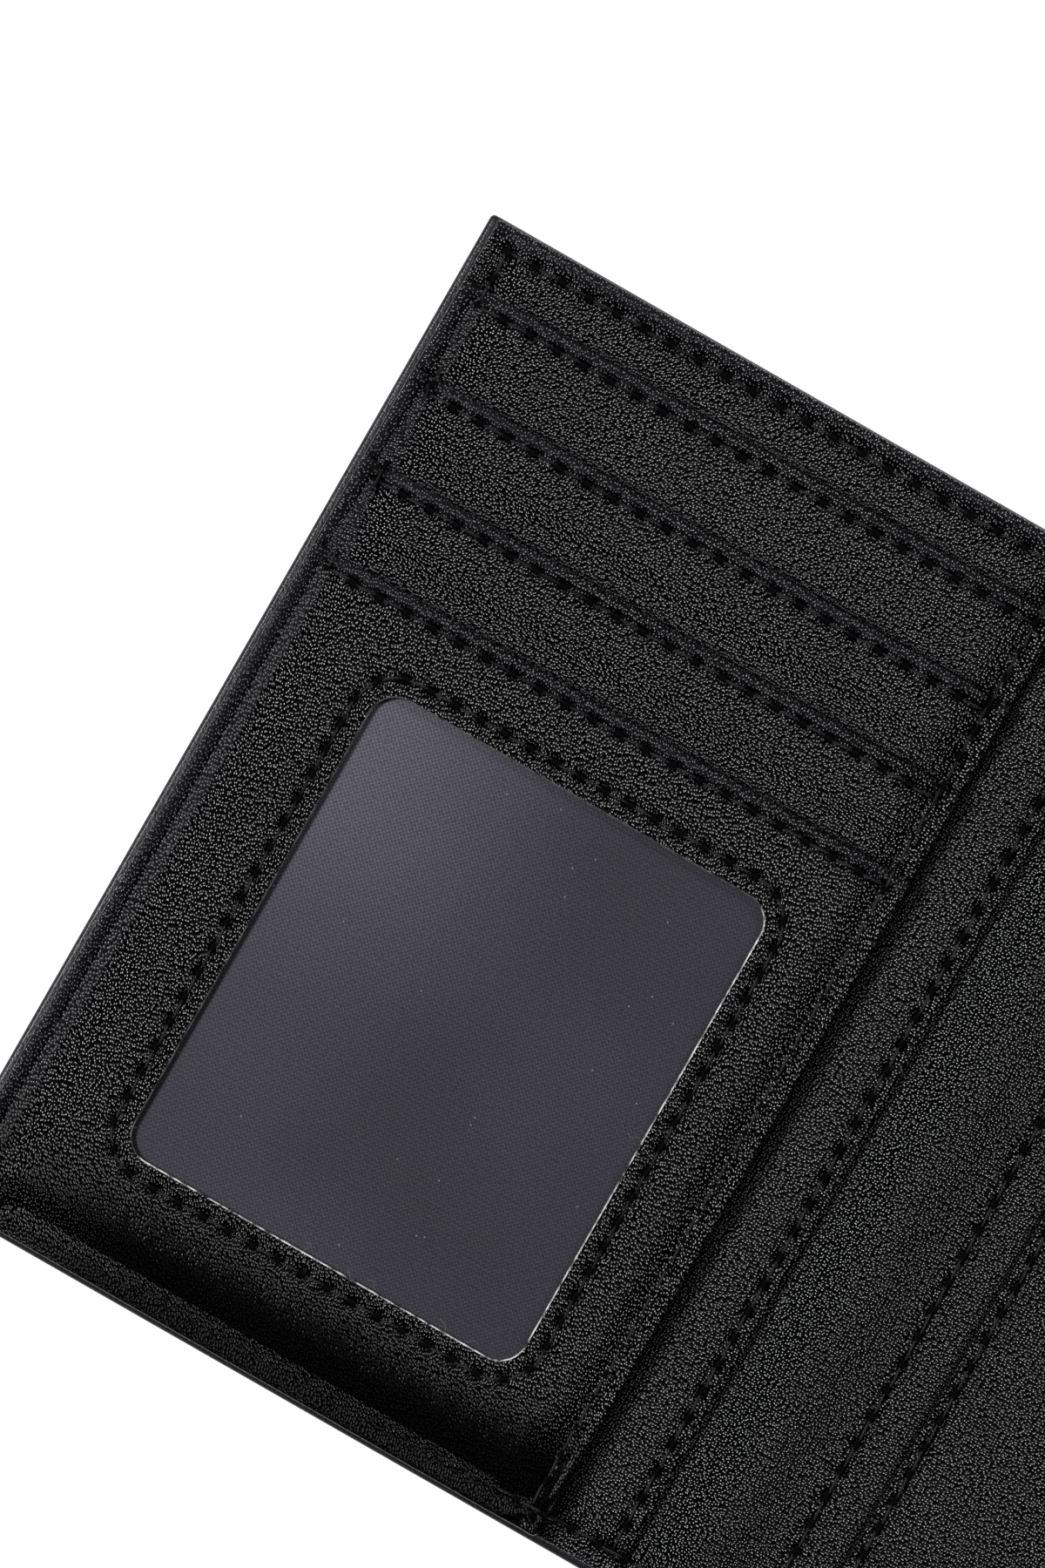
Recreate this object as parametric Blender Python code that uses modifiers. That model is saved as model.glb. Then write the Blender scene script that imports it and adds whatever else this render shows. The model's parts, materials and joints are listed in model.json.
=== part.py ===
"""Trifold wallet lying open with its inside up.

X runs along the open wallet from the left flap to the right flap, Y points to the banknote
opening and Z points up. The origin is the centre of the footprint, on the underside.
Each leather panel, lining, pocket, film and seam thread is a closed solid of its own.
"""

import math

import bmesh
import bpy

# Driving dimensions, in metres.
WALLET_HEIGHT = 0.104
FLAP_WIDTH = 0.0718
CENTRE_MARGIN = 0.0034  # how much wider the centre is than the flap that folds onto it

# Sheet thicknesses.
SHELL_LEATHER = 0.0009
SHELL_HEM = 0.0005
PANEL_LEATHER = 0.0007
PANEL_HEM = 0.00035
SLOT_LEATHER = 0.0006
LINING = 0.0002
FILM = 0.0002
THREAD_RADIUS = 0.00015

# Clearances.
LAYER_GAP = 0.00015
SIDE_GAP = 0.0003
THREAD_GAP = 0.00005
BANKNOTE_GAP = 0.0005
CLOSED_GAP = 0.0007  # between the layers that face each other when the wallet is folded

# Hems and seams.
HEM_WIDTH = 0.007
EDGE_ROUND = 0.00012
SHELL_OVERHANG = 0.0009  # the shell beyond the inside panels, at the two ends
SHELL_OVERHANG_BOTTOM = 0.0008
SHELL_OVERHANG_TOP = 0.0003
PERIMETER_SEAM = 0.0022  # seam line in from the edge of the inside panels
POCKET_SEAM = 0.0015  # seam line in from a pocket's turned edge
STACK_SEAM = 0.0018
CENTRE_SEAM = 0.001
SEAM_CLIMB_START = 0.0008  # a seam that climbs a turned edge rises between these distances from it
SEAM_CLIMB_END = 0.0001

# Card pockets.
SLIP_POCKET_SHOWS = 0.0082  # the slip pocket's width that the card stack leaves uncovered
FIRST_SLOT_DROP = 0.0064
SLOT_PITCH = 0.0092
SLOT_OVERLAP = 0.005
SLOT_SLOPE = 0.0024
LEFT_CARD_SLOTS = 3
RIGHT_CARD_SLOTS = 4

# Identity window, placed by its margins in the pocket that holds it.
WINDOW_MARGIN_TOP = 0.0084
WINDOW_MARGIN_BOTTOM = 0.0122
WINDOW_MARGIN_OUTER = 0.0122
WINDOW_MARGIN_INNER = 0.0096
WINDOW_CORNER = 0.0026
WINDOW_SEAM = 0.0018
FILM_MARGIN = 0.004

# Centre slip pockets.
CENTRE_POCKET_STEP = 0.0055

ARC_STEPS = 6
CORNER_STEPS = 6
CUT_PAST = 0.001
THREAD_END = 0.0006  # a seam stops this far short of the seam that it meets
EMPTY_SIZE = 0.005

# Heights of the layers, from the table up.
hinge_z = SHELL_LEATHER / 2
shell_top = SHELL_LEATHER + SHELL_HEM
shell_lining_z = SHELL_LEATHER + LAYER_GAP
inner_z = shell_top + BANKNOTE_GAP
inner_leather_z = inner_z + PANEL_HEM
inner_top = inner_leather_z + PANEL_LEATHER
slip_z = inner_top + LAYER_GAP
slip_top = slip_z + PANEL_LEATHER
backing_z = slip_top + LAYER_GAP
backing_top = backing_z + PANEL_LEATHER
thread_rise = THREAD_GAP + THREAD_RADIUS
thread_height = THREAD_GAP + 2 * THREAD_RADIUS


def slot_base(index):
    """Underside of pocket number index where it lies on the linings of those behind it."""
    return backing_top + LAYER_GAP + index * (LINING + LAYER_GAP)


def slot_edge_base(index):
    """Underside of the pocket's turned edge, which lies on the leather of the pocket behind."""
    if index == 0:
        return slot_base(0)
    return slot_base(index - 1) + SLOT_LEATHER + LAYER_GAP


window_pocket_z = slot_edge_base(LEFT_CARD_SLOTS)
left_top = window_pocket_z + PANEL_LEATHER + thread_height
right_top = slot_edge_base(RIGHT_CARD_SLOTS - 1) + SLOT_LEATHER + thread_height
centre_top = backing_top + thread_height

# The left flap folds first, so the right spine has to reach over it.
left_spine_width = left_top + centre_top + CLOSED_GAP - SHELL_LEATHER
right_spine_width = left_spine_width + right_top + CLOSED_GAP
centre_width = FLAP_WIDTH + CENTRE_MARGIN

# Places along X and Y.
total_width = 2 * FLAP_WIDTH + left_spine_width + centre_width + right_spine_width
x_start = -total_width / 2
x_left_flap = x_start + FLAP_WIDTH
x_centre_left = x_left_flap + left_spine_width
x_centre_right = x_centre_left + centre_width
x_right_flap = x_centre_right + right_spine_width
x_end = -x_start
y_top = WALLET_HEIGHT / 2 - SHELL_OVERHANG_TOP
y_bottom = -WALLET_HEIGHT / 2 + SHELL_OVERHANG_BOTTOM
y_top_seam = y_top - PERIMETER_SEAM
y_bottom_seam = y_bottom + PERIMETER_SEAM


def slot_edge_y(index):
    """Y of the turned edge of pocket number index, counted down from the top."""
    return y_top - FIRST_SLOT_DROP - index * SLOT_PITCH


def clear_scene():
    for obj in list(bpy.data.objects):
        bpy.data.objects.remove(obj, do_unlink=True)


def new_collection(name):
    collection = bpy.data.collections.new(name)
    bpy.context.scene.collection.children.link(collection)
    return collection


def new_material(name, colour, roughness):
    material = bpy.data.materials.new(name)
    material.use_nodes = True
    shader = material.node_tree.nodes["Principled BSDF"]
    shader.inputs["Base Color"].default_value = (*colour, 1)
    shader.inputs["Roughness"].default_value = roughness
    shader.inputs["Metallic"].default_value = 0
    material.diffuse_color = (*colour, 1)
    return material


clear_scene()
wallet = new_collection("trifold_wallet")
cutters = new_collection("cutters")
shell_leather = new_material("shell_leather", (0.012, 0.012, 0.014), 0.45)
inner_leather = new_material("inner_leather", (0.016, 0.016, 0.018), 0.4)
lining_fabric = new_material("lining_fabric", (0.02, 0.02, 0.022), 0.9)
window_film = new_material("window_film", (0.09, 0.09, 0.11), 0.5)
seam_thread = new_material("seam_thread", (0.01, 0.01, 0.01), 0.6)


def body_frame(name, x, y, z):
    """An empty on a fold axis, which the pieces of that body hang from."""
    frame = bpy.data.objects.new(name, None)
    frame.location = (x, y, z)
    frame.empty_display_size = EMPTY_SIZE
    wallet.objects.link(frame)
    return frame


def hang(obj, frame):
    """Parents obj to frame and keeps it where it is."""
    obj.parent = frame
    obj.location = [a - b for a, b in zip(obj.location, frame.location)]


def box_mesh(name, size):
    mesh = bpy.data.meshes.new(name)
    shape = bmesh.new()
    bmesh.ops.create_cube(shape, size=1)
    bmesh.ops.scale(shape, vec=size, verts=shape.verts)
    shape.to_mesh(mesh)
    shape.free()
    return mesh


def box_object(name, x_span, y_span, z_span, collection):
    spans = (x_span, y_span, z_span)
    size = [high - low for low, high in spans]
    obj = bpy.data.objects.new(name, box_mesh(name, size))
    obj.location = [(low + high) / 2 for low, high in spans]
    collection.objects.link(obj)
    return obj


def round_edges(obj, width=EDGE_ROUND):
    bevel = obj.modifiers.new("rounded_edges", "BEVEL")
    bevel.width = width
    bevel.segments = 2
    bevel.limit_method = "ANGLE"
    bevel.angle_limit = math.radians(50)


def sheet(name, x_span, y_span, z, thickness, material, frame):
    """A flat piece of leather, fabric or film."""
    obj = box_object(name, x_span, y_span, (z, z + thickness), wallet)
    obj.data.materials.append(material)
    if thickness > 4 * EDGE_ROUND:
        round_edges(obj)
    hang(obj, frame)
    return obj


def cut(obj, cutter):
    cutter.hide_render = True
    cutter.display_type = "WIRE"
    difference = obj.modifiers.new("cut", "BOOLEAN")
    difference.object = cutter
    difference.operation = "DIFFERENCE"
    difference.solver = "EXACT"


def shell_section(name, x_span, frame, hem_left=False, hem_right=False):
    """A length of the outer leather, its edges turned in to a hem that the lining lies inside."""
    low, high = x_span
    y_span = (-WALLET_HEIGHT / 2, WALLET_HEIGHT / 2)
    obj = box_object(name, x_span, y_span, (0, shell_top), wallet)
    obj.data.materials.append(shell_leather)
    well_low = low + HEM_WIDTH if hem_left else low - CUT_PAST
    well_high = high - HEM_WIDTH if hem_right else high + CUT_PAST
    well = box_object(
        name + "_well",
        (well_low, well_high),
        (y_span[0] + HEM_WIDTH, y_span[1] - HEM_WIDTH),
        (SHELL_LEATHER, shell_top + CUT_PAST),
        cutters,
    )
    cut(obj, well)
    round_edges(obj)
    hang(obj, frame)


def shell_lining(name, x_span, frame):
    inset = WALLET_HEIGHT / 2 - HEM_WIDTH - SIDE_GAP
    sheet(name, x_span, (-inset, inset), shell_lining_z, LINING, lining_fabric, frame)


def inner_section(name, x_span, frame):
    """A length of the banknote compartment's front wall, its top edge turned under to a hem."""
    obj = box_object(name, x_span, (y_bottom, y_top), (inner_z, inner_top), wallet)
    obj.data.materials.append(inner_leather)
    under = box_object(
        name + "_under",
        (x_span[0] - CUT_PAST, x_span[1] + CUT_PAST),
        (y_bottom - CUT_PAST, y_top - HEM_WIDTH),
        (inner_z - CUT_PAST, inner_leather_z),
        cutters,
    )
    cut(obj, under)
    round_edges(obj)
    hang(obj, frame)


def inner_lining(name, x_span, frame):
    z = inner_leather_z - LAYER_GAP - LINING
    y_span = (y_bottom, y_top - HEM_WIDTH - SIDE_GAP)
    sheet(name, x_span, y_span, z, LINING, lining_fabric, frame)


def arc(centre, radius, start, end, steps=ARC_STEPS):
    """Points on an arc from start to end, in degrees."""
    angles = [math.radians(start + (end - start) * i / steps) for i in range(steps + 1)]
    return [(centre[0] + radius * math.cos(a), centre[1] + radius * math.sin(a)) for a in angles]


def slot_foot_y(index):
    """Y where a card pocket's leather ends and its lining goes on, below the next pocket's edge."""
    return slot_edge_y(index + 1) - SLOT_OVERLAP


def card_slot_outline(index, end):
    """Side view of a card pocket in Y and Z: a rounded turned edge, then a slope down to its base."""
    edge = slot_edge_y(index)
    high, low = slot_edge_base(index), slot_base(index)
    radius = SLOT_LEATHER / 2
    slope_start, slope_end = edge - SLOT_OVERLAP, edge - SLOT_OVERLAP - SLOT_SLOPE
    points = [(end, low), (slope_end, low), (slope_start, high)]
    points += arc((edge - radius, high + radius), radius, -90, 90)
    points += [(slope_start, high + SLOT_LEATHER), (slope_end, low + SLOT_LEATHER)]
    points.append((end, low + SLOT_LEATHER))
    return points


def extruded_outline(name, outline, x_span, material, frame):
    """A flat outline in Y and Z, given its width along X."""
    curve = bpy.data.curves.new(name, "CURVE")
    curve.dimensions = "2D"
    curve.fill_mode = "BOTH"
    curve.extrude = (x_span[1] - x_span[0]) / 2
    spline = curve.splines.new("POLY")
    spline.points.add(len(outline) - 1)
    for point, (y, z) in zip(spline.points, outline):
        point.co = (y, z, 0, 1)
    spline.use_cyclic_u = True
    curve.materials.append(material)
    obj = bpy.data.objects.new(name, curve)
    obj.rotation_euler = (math.pi / 2, 0, math.pi / 2)
    obj.location = ((x_span[0] + x_span[1]) / 2, 0, 0)
    wallet.objects.link(obj)
    hang(obj, frame)
    return obj


def stack_steps(slots, front_z, front_thickness):
    """(Y of the edge, height behind it, height on it) for each step that a seam down a stack climbs."""
    steps = []
    for index in range(slots):
        behind = backing_top if index == 0 else slot_base(index - 1) + SLOT_LEATHER
        steps.append((slot_edge_y(index), behind, slot_edge_base(index) + SLOT_LEATHER))
    if front_z is not None:
        steps.append((slot_edge_y(slots), slot_base(slots - 1) + SLOT_LEATHER, front_z + front_thickness))
    return steps


def seam_down_stack(x, y_from, y_to, steps, slot_count):
    """Points of a thread that runs down a card stack at x and climbs each turned edge."""
    points = [(x, y_from, backing_top + thread_rise)]
    for index, (edge, behind, top) in enumerate(steps):
        points.append((x, edge + SEAM_CLIMB_START, behind + thread_rise))
        points.append((x, edge + SEAM_CLIMB_END, top + thread_rise))
        if index < slot_count and index:
            points.append((x, edge - SLOT_OVERLAP, top + thread_rise))
            slope_end = edge - SLOT_OVERLAP - SLOT_SLOPE
            points.append((x, slope_end, slot_base(index) + SLOT_LEATHER + thread_rise))
    points.append((x, y_to, points[-1][2]))
    return points


def thread(name, points, frame, cyclic=False):
    curve = bpy.data.curves.new(name, "CURVE")
    curve.dimensions = "3D"
    curve.bevel_depth = THREAD_RADIUS
    curve.bevel_resolution = 1
    curve.use_fill_caps = True
    spline = curve.splines.new("POLY")
    spline.points.add(len(points) - 1)
    for point, place in zip(spline.points, points):
        point.co = (*place, 1)
    spline.use_cyclic_u = cyclic
    curve.materials.append(seam_thread)
    obj = bpy.data.objects.new(name, curve)
    wallet.objects.link(obj)
    hang(obj, frame)


def straight_thread(name, start, end, surface, frame):
    z = surface + thread_rise
    thread(name, [(*start, z), (*end, z)], frame)


class Flap:
    """The places of one flap's pockets. side is -1 for the left flap and 1 for the right one."""

    def __init__(self, side):
        self.side = side
        self.shell_edge = side * x_end
        self.outer = side * (x_end - SHELL_OVERHANG)
        self.hinge = x_right_flap if side > 0 else x_left_flap
        self.stack_inner = self.hinge + side * SLIP_POCKET_SHOWS
        self.outer_seam = self.outer - side * PERIMETER_SEAM
        self.stack_seam = self.stack_inner + side * STACK_SEAM
        self.slip_seam = self.hinge + side * POCKET_SEAM

    def span(self, a, b):
        return (min(a, b), max(a, b))


def perimeter_thread(name, flap, steps, slot_count, front_top, frame):
    """The seam along a flap's top, down its outer edge and back along its bottom."""
    toward = -flap.side
    beside = flap.stack_inner + toward * 3 * THREAD_RADIUS
    on_stack = flap.stack_inner - toward * 2 * THREAD_RADIUS
    finish = flap.hinge - toward * SIDE_GAP
    low = slip_top + thread_rise
    high = backing_top + thread_rise
    front = front_top + thread_rise
    points = [(finish, y_top_seam, low), (beside, y_top_seam, low)]
    points += [(beside, y_top_seam, high), (on_stack, y_top_seam, high)]
    points += seam_down_stack(flap.outer_seam, y_top_seam, y_bottom_seam, steps, slot_count)
    points += [(on_stack, y_bottom_seam, front), (beside, y_bottom_seam, front)]
    points += [(beside, y_bottom_seam, low), (finish, y_bottom_seam, low)]
    thread(name, points, frame)


def flap_layers(flap, side_name, frame):
    """The layers that both flaps have, from the shell up to the card stack's backing."""
    beside_hinge = flap.hinge + flap.side * LAYER_GAP
    inside_hem = flap.shell_edge - flap.side * (HEM_WIDTH + SIDE_GAP)
    shell_span = flap.span(flap.shell_edge, beside_hinge)
    inside_span = flap.span(flap.outer, beside_hinge)
    lining_span = flap.span(inside_hem, flap.hinge + flap.side * SIDE_GAP)
    shell_section(side_name + "_shell", shell_span, frame, flap.side < 0, flap.side > 0)
    shell_lining(side_name + "_shell_lining", lining_span, frame)
    inner_section(side_name + "_inner_panel", inside_span, frame)
    inner_lining(side_name + "_inner_lining", inside_span, frame)
    sheet(
        side_name + "_slip_pocket",
        flap.span(flap.outer, flap.hinge),
        (y_bottom, y_top),
        slip_z,
        PANEL_LEATHER,
        inner_leather,
        frame,
    )
    sheet(
        side_name + "_stack_backing",
        flap.span(flap.outer, flap.stack_inner),
        (y_bottom, y_top),
        backing_z,
        PANEL_LEATHER,
        inner_leather,
        frame,
    )


def card_slots(flap, side_name, count, last_is_front, frame):
    """The stacked card pockets, each a leather strip with a fabric lining below it."""
    x_span = flap.span(flap.outer, flap.stack_inner)
    for index in range(count):
        front = last_is_front and index == count - 1
        outline = card_slot_outline(index, y_bottom if front else slot_foot_y(index))
        slot_name = f"{side_name}_card_slot_{index + 1}"
        extruded_outline(slot_name, outline, x_span, inner_leather, frame)
        seam_y = slot_edge_y(index) - POCKET_SEAM
        straight_thread(
            slot_name + "_thread",
            (flap.outer_seam - flap.side * THREAD_END, seam_y),
            (flap.stack_seam + flap.side * THREAD_END, seam_y),
            slot_edge_base(index) + SLOT_LEATHER,
            frame,
        )
        if front:
            continue
        sheet(
            slot_name + "_lining",
            x_span,
            (y_bottom, slot_foot_y(index) - SIDE_GAP),
            slot_base(index),
            LINING,
            lining_fabric,
            frame,
        )


def window_pocket(flap, frame):
    """The front pocket with its window, the film behind it and their seams."""
    index = LEFT_CARD_SLOTS
    edge = slot_edge_y(index)
    pocket = sheet(
        "id_window_pocket",
        flap.span(flap.outer, flap.stack_inner),
        (y_bottom, edge),
        window_pocket_z,
        PANEL_LEATHER,
        inner_leather,
        frame,
    )
    x_low = flap.outer + WINDOW_MARGIN_OUTER
    x_high = flap.stack_inner - WINDOW_MARGIN_INNER
    y_low = y_bottom + WINDOW_MARGIN_BOTTOM
    y_high = edge - WINDOW_MARGIN_TOP
    opening = box_object(
        "window_opening",
        (x_low, x_high),
        (y_low, y_high),
        (window_pocket_z - CUT_PAST, window_pocket_z + PANEL_LEATHER + CUT_PAST),
        cutters,
    )
    round_upright_edges(opening, WINDOW_CORNER)
    cut(pocket, opening)
    pocket.modifiers.move(len(pocket.modifiers) - 1, 0)
    sheet(
        "id_window_film",
        (x_low - FILM_MARGIN, x_high + FILM_MARGIN),
        (y_low - FILM_MARGIN, min(y_high + FILM_MARGIN, slot_foot_y(index - 1) - SIDE_GAP)),
        slot_base(index),
        FILM,
        window_film,
        frame,
    )
    top = window_pocket_z + PANEL_LEATHER
    straight_thread(
        "id_pocket_edge_thread",
        (flap.outer_seam + THREAD_END, edge - POCKET_SEAM),
        (flap.stack_seam - THREAD_END, edge - POCKET_SEAM),
        top,
        frame,
    )
    ring = rounded_rectangle(
        (x_low - WINDOW_SEAM, x_high + WINDOW_SEAM),
        (y_low - WINDOW_SEAM, y_high + WINDOW_SEAM),
        WINDOW_CORNER + WINDOW_SEAM,
    )
    thread("id_window_thread", [(x, y, top + thread_rise) for x, y in ring], frame, cyclic=True)


def round_upright_edges(obj, radius):
    shape = bmesh.new()
    shape.from_mesh(obj.data)
    upright = [e for e in shape.edges if abs(e.verts[0].co.z - e.verts[1].co.z) > CUT_PAST]
    bmesh.ops.bevel(shape, geom=upright, offset=radius, segments=CORNER_STEPS, profile=0.5, affect="EDGES")
    shape.to_mesh(obj.data)
    shape.free()


def rounded_rectangle(x_span, y_span, radius):
    """Outline of a rectangle with round corners, anticlockwise."""
    x_low, x_high = x_span[0] + radius, x_span[1] - radius
    y_low, y_high = y_span[0] + radius, y_span[1] - radius
    points = []
    for turn, centre in enumerate([(x_high, y_high), (x_low, y_high), (x_low, y_low), (x_high, y_low)]):
        points += arc(centre, radius, 90 * turn, 90 * turn + 90)
    return points


def spine(name, x_span, frame):
    """The soft strip between two panels, which bends at both of its sides."""
    gap_span = (x_span[0] + LAYER_GAP, x_span[1] - LAYER_GAP)
    lining_span = (x_span[0] + SIDE_GAP, x_span[1] - SIDE_GAP)
    shell_section(name + "_shell", gap_span, frame)
    shell_lining(name + "_shell_lining", lining_span, frame)
    inner_section(name + "_inner_panel", gap_span, frame)
    thread_ends = [(x, y_bottom_seam) for x in lining_span]
    straight_thread(name + "_bottom_thread", *thread_ends, inner_top, frame)


def centre_panel(frame):
    x_span = (x_centre_left + LAYER_GAP, x_centre_right - LAYER_GAP)
    lining_span = (x_centre_left + SIDE_GAP, x_centre_right - SIDE_GAP)
    shell_section("centre_shell", x_span, frame)
    shell_lining("centre_shell_lining", lining_span, frame)
    inner_section("centre_inner_panel", x_span, frame)
    inner_lining("centre_inner_lining", x_span, frame)
    back_edge = x_centre_left
    front_edge = x_centre_left + CENTRE_POCKET_STEP
    right = x_centre_right - LAYER_GAP
    for number, (edge, z) in enumerate([(back_edge, slip_z), (front_edge, backing_z)], start=1):
        pocket_name = f"centre_slip_pocket_{number}"
        sheet(pocket_name, (edge, right), (y_bottom, y_top), z, PANEL_LEATHER, inner_leather, frame)
        seam_x = edge + CENTRE_SEAM
        straight_thread(
            pocket_name + "_thread",
            (seam_x, y_top_seam - THREAD_END),
            (seam_x, y_bottom_seam + THREAD_END),
            z + PANEL_LEATHER,
            frame,
        )
    climb = front_edge - 3 * THREAD_RADIUS
    on_top = front_edge + 2 * THREAD_RADIUS
    low, high = slip_top + thread_rise, backing_top + thread_rise
    for seam_name, y in (("centre_top_thread", y_top_seam), ("centre_bottom_thread", y_bottom_seam)):
        path = [(back_edge + SIDE_GAP, y, low), (climb, y, low), (climb, y, high)]
        path += [(on_top, y, high), (right - SIDE_GAP, y, high)]
        thread(seam_name, path, frame)


def flap_threads(flap, side_name, steps, slot_count, front_top, frame):
    """The seams that sew a flap's layers together."""
    y_from = y_top_seam - THREAD_END
    y_to = y_bottom_seam + THREAD_END
    perimeter_thread(side_name + "_perimeter_thread", flap, steps, slot_count, front_top, frame)
    stack_path = seam_down_stack(flap.stack_seam, y_from, y_to, steps, slot_count)
    thread(side_name + "_stack_thread", stack_path, frame)
    slip_ends = (flap.slip_seam, y_from), (flap.slip_seam, y_to)
    straight_thread(side_name + "_slip_pocket_thread", *slip_ends, slip_top, frame)


def left_side(frame):
    flap = Flap(-1)
    flap_layers(flap, "left", frame)
    card_slots(flap, "left", LEFT_CARD_SLOTS, False, frame)
    window_pocket(flap, frame)
    steps = stack_steps(LEFT_CARD_SLOTS, window_pocket_z, PANEL_LEATHER)
    flap_threads(flap, "left", steps, LEFT_CARD_SLOTS, window_pocket_z + PANEL_LEATHER, frame)


def right_side(frame):
    flap = Flap(1)
    flap_layers(flap, "right", frame)
    card_slots(flap, "right", RIGHT_CARD_SLOTS, True, frame)
    steps = stack_steps(RIGHT_CARD_SLOTS, None, 0)
    front_top = slot_base(RIGHT_CARD_SLOTS - 1) + SLOT_LEATHER
    flap_threads(flap, "right", steps, RIGHT_CARD_SLOTS, front_top, frame)


centre_frame = body_frame("centre", 0, 0, 0)
left_spine_frame = body_frame("left_spine", x_centre_left, 0, hinge_z)
left_flap_frame = body_frame("left_flap", x_left_flap, 0, hinge_z)
right_spine_frame = body_frame("right_spine", x_centre_right, 0, hinge_z)
right_flap_frame = body_frame("right_flap", x_right_flap, 0, hinge_z)

centre_panel(centre_frame)
spine("left_spine", (x_left_flap, x_centre_left), left_spine_frame)
spine("right_spine", (x_centre_right, x_right_flap), right_spine_frame)
left_side(left_flap_frame)
right_side(right_flap_frame)
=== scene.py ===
import json
import math

import bpy
import numpy as np
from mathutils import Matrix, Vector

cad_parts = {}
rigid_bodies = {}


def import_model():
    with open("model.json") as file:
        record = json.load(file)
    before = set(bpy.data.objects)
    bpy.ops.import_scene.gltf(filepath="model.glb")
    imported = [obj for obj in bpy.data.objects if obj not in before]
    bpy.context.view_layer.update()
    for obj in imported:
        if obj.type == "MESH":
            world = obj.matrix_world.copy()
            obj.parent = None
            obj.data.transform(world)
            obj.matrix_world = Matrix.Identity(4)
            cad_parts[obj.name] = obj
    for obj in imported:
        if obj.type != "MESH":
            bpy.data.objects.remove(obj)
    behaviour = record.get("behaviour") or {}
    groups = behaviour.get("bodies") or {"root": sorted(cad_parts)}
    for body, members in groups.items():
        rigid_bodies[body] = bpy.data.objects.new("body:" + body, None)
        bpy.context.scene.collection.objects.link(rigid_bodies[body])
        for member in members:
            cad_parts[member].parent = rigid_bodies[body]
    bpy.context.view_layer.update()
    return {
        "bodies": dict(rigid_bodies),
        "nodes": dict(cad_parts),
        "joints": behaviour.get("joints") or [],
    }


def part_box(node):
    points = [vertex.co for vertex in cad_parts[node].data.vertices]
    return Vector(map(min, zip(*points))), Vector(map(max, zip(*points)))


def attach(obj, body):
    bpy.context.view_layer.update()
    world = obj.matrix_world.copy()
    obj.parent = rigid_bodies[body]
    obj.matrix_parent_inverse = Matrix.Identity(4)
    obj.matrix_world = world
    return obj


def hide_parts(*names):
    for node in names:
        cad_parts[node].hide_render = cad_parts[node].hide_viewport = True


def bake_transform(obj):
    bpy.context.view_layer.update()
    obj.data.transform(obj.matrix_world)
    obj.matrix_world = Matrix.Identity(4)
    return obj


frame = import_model()
mm = 0.001
print("wallet frame loaded")

# Places that everything shares, all read from the frame.

hingeX = {joint["name"]: joint["pos_m"][0] for joint in frame["joints"]}
leftFlapX, leftCentreX = hingeX["left_flap_fold"], hingeX["left_fold"]
rightCentreX, rightFlapX = hingeX["right_fold"], hingeX["right_flap_fold"]


def spans(node):
    # low and high along X, Y and Z of a CAD node
    low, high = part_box(node)
    return [(low[axis], high[axis]) for axis in range(3)]


def middle(span):
    return (span[0] + span[1]) / 2


shellX = (spans("left_shell")[0][0], spans("right_shell")[0][1])
shellY = spans("centre_shell")[1]
shellTop = spans("centre_shell")[2][1]
insideX = (spans("left_inner_panel")[0][0], spans("right_inner_panel")[0][1])
insideY = spans("centre_inner_panel")[1]
topSeamY = middle(spans("centre_top_thread")[1])
bottomSeamY = middle(spans("centre_bottom_thread")[1])
leftSeamX = spans("left_perimeter_thread")[0][0]
rightSeamX = spans("right_perimeter_thread")[0][1]
leftStackSeamX = middle(spans("left_stack_thread")[0])
rightStackSeamX = middle(spans("right_stack_thread")[0])
leftSlipSeamX = middle(spans("left_slip_pocket_thread")[0])
rightSlipSeamX = middle(spans("right_slip_pocket_thread")[0])
centreSeamX = [middle(spans(f"centre_slip_pocket_{number}_thread")[0]) for number in (1, 2)]

# How the leather is pulled together where it is sewn.

settling = {"shut": 0.32 * mm, "shutReach": 7 * mm, "squeeze": 0.17, "seamReach": 1.7 * mm,
            "crown": 0.06 * mm, "pillow": 0.3 * mm, "pillowReach": 5 * mm}


def ease(value, start, end):
    # 0 before start, 1 after end, smooth between
    t = np.clip((value - start) / (end - start), 0, 1)
    return t * t * (3 - 2 * t)


def bell(distance, width):
    return np.exp(-((distance / width) ** 2))


def waves(x, y, seed):
    # slow unevenness of a leather surface, about -1 to 1
    total = 0
    for turn, length in enumerate((31, 19, 12.5)):
        angle = seed * 1.7 + turn * 2.1
        along = (x * math.cos(angle) + y * math.sin(angle)) / (length * mm)
        total = total + np.sin(2 * math.pi * along + seed * 3.1 + turn) / (turn + 1.4)
    return total / 1.6


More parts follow.
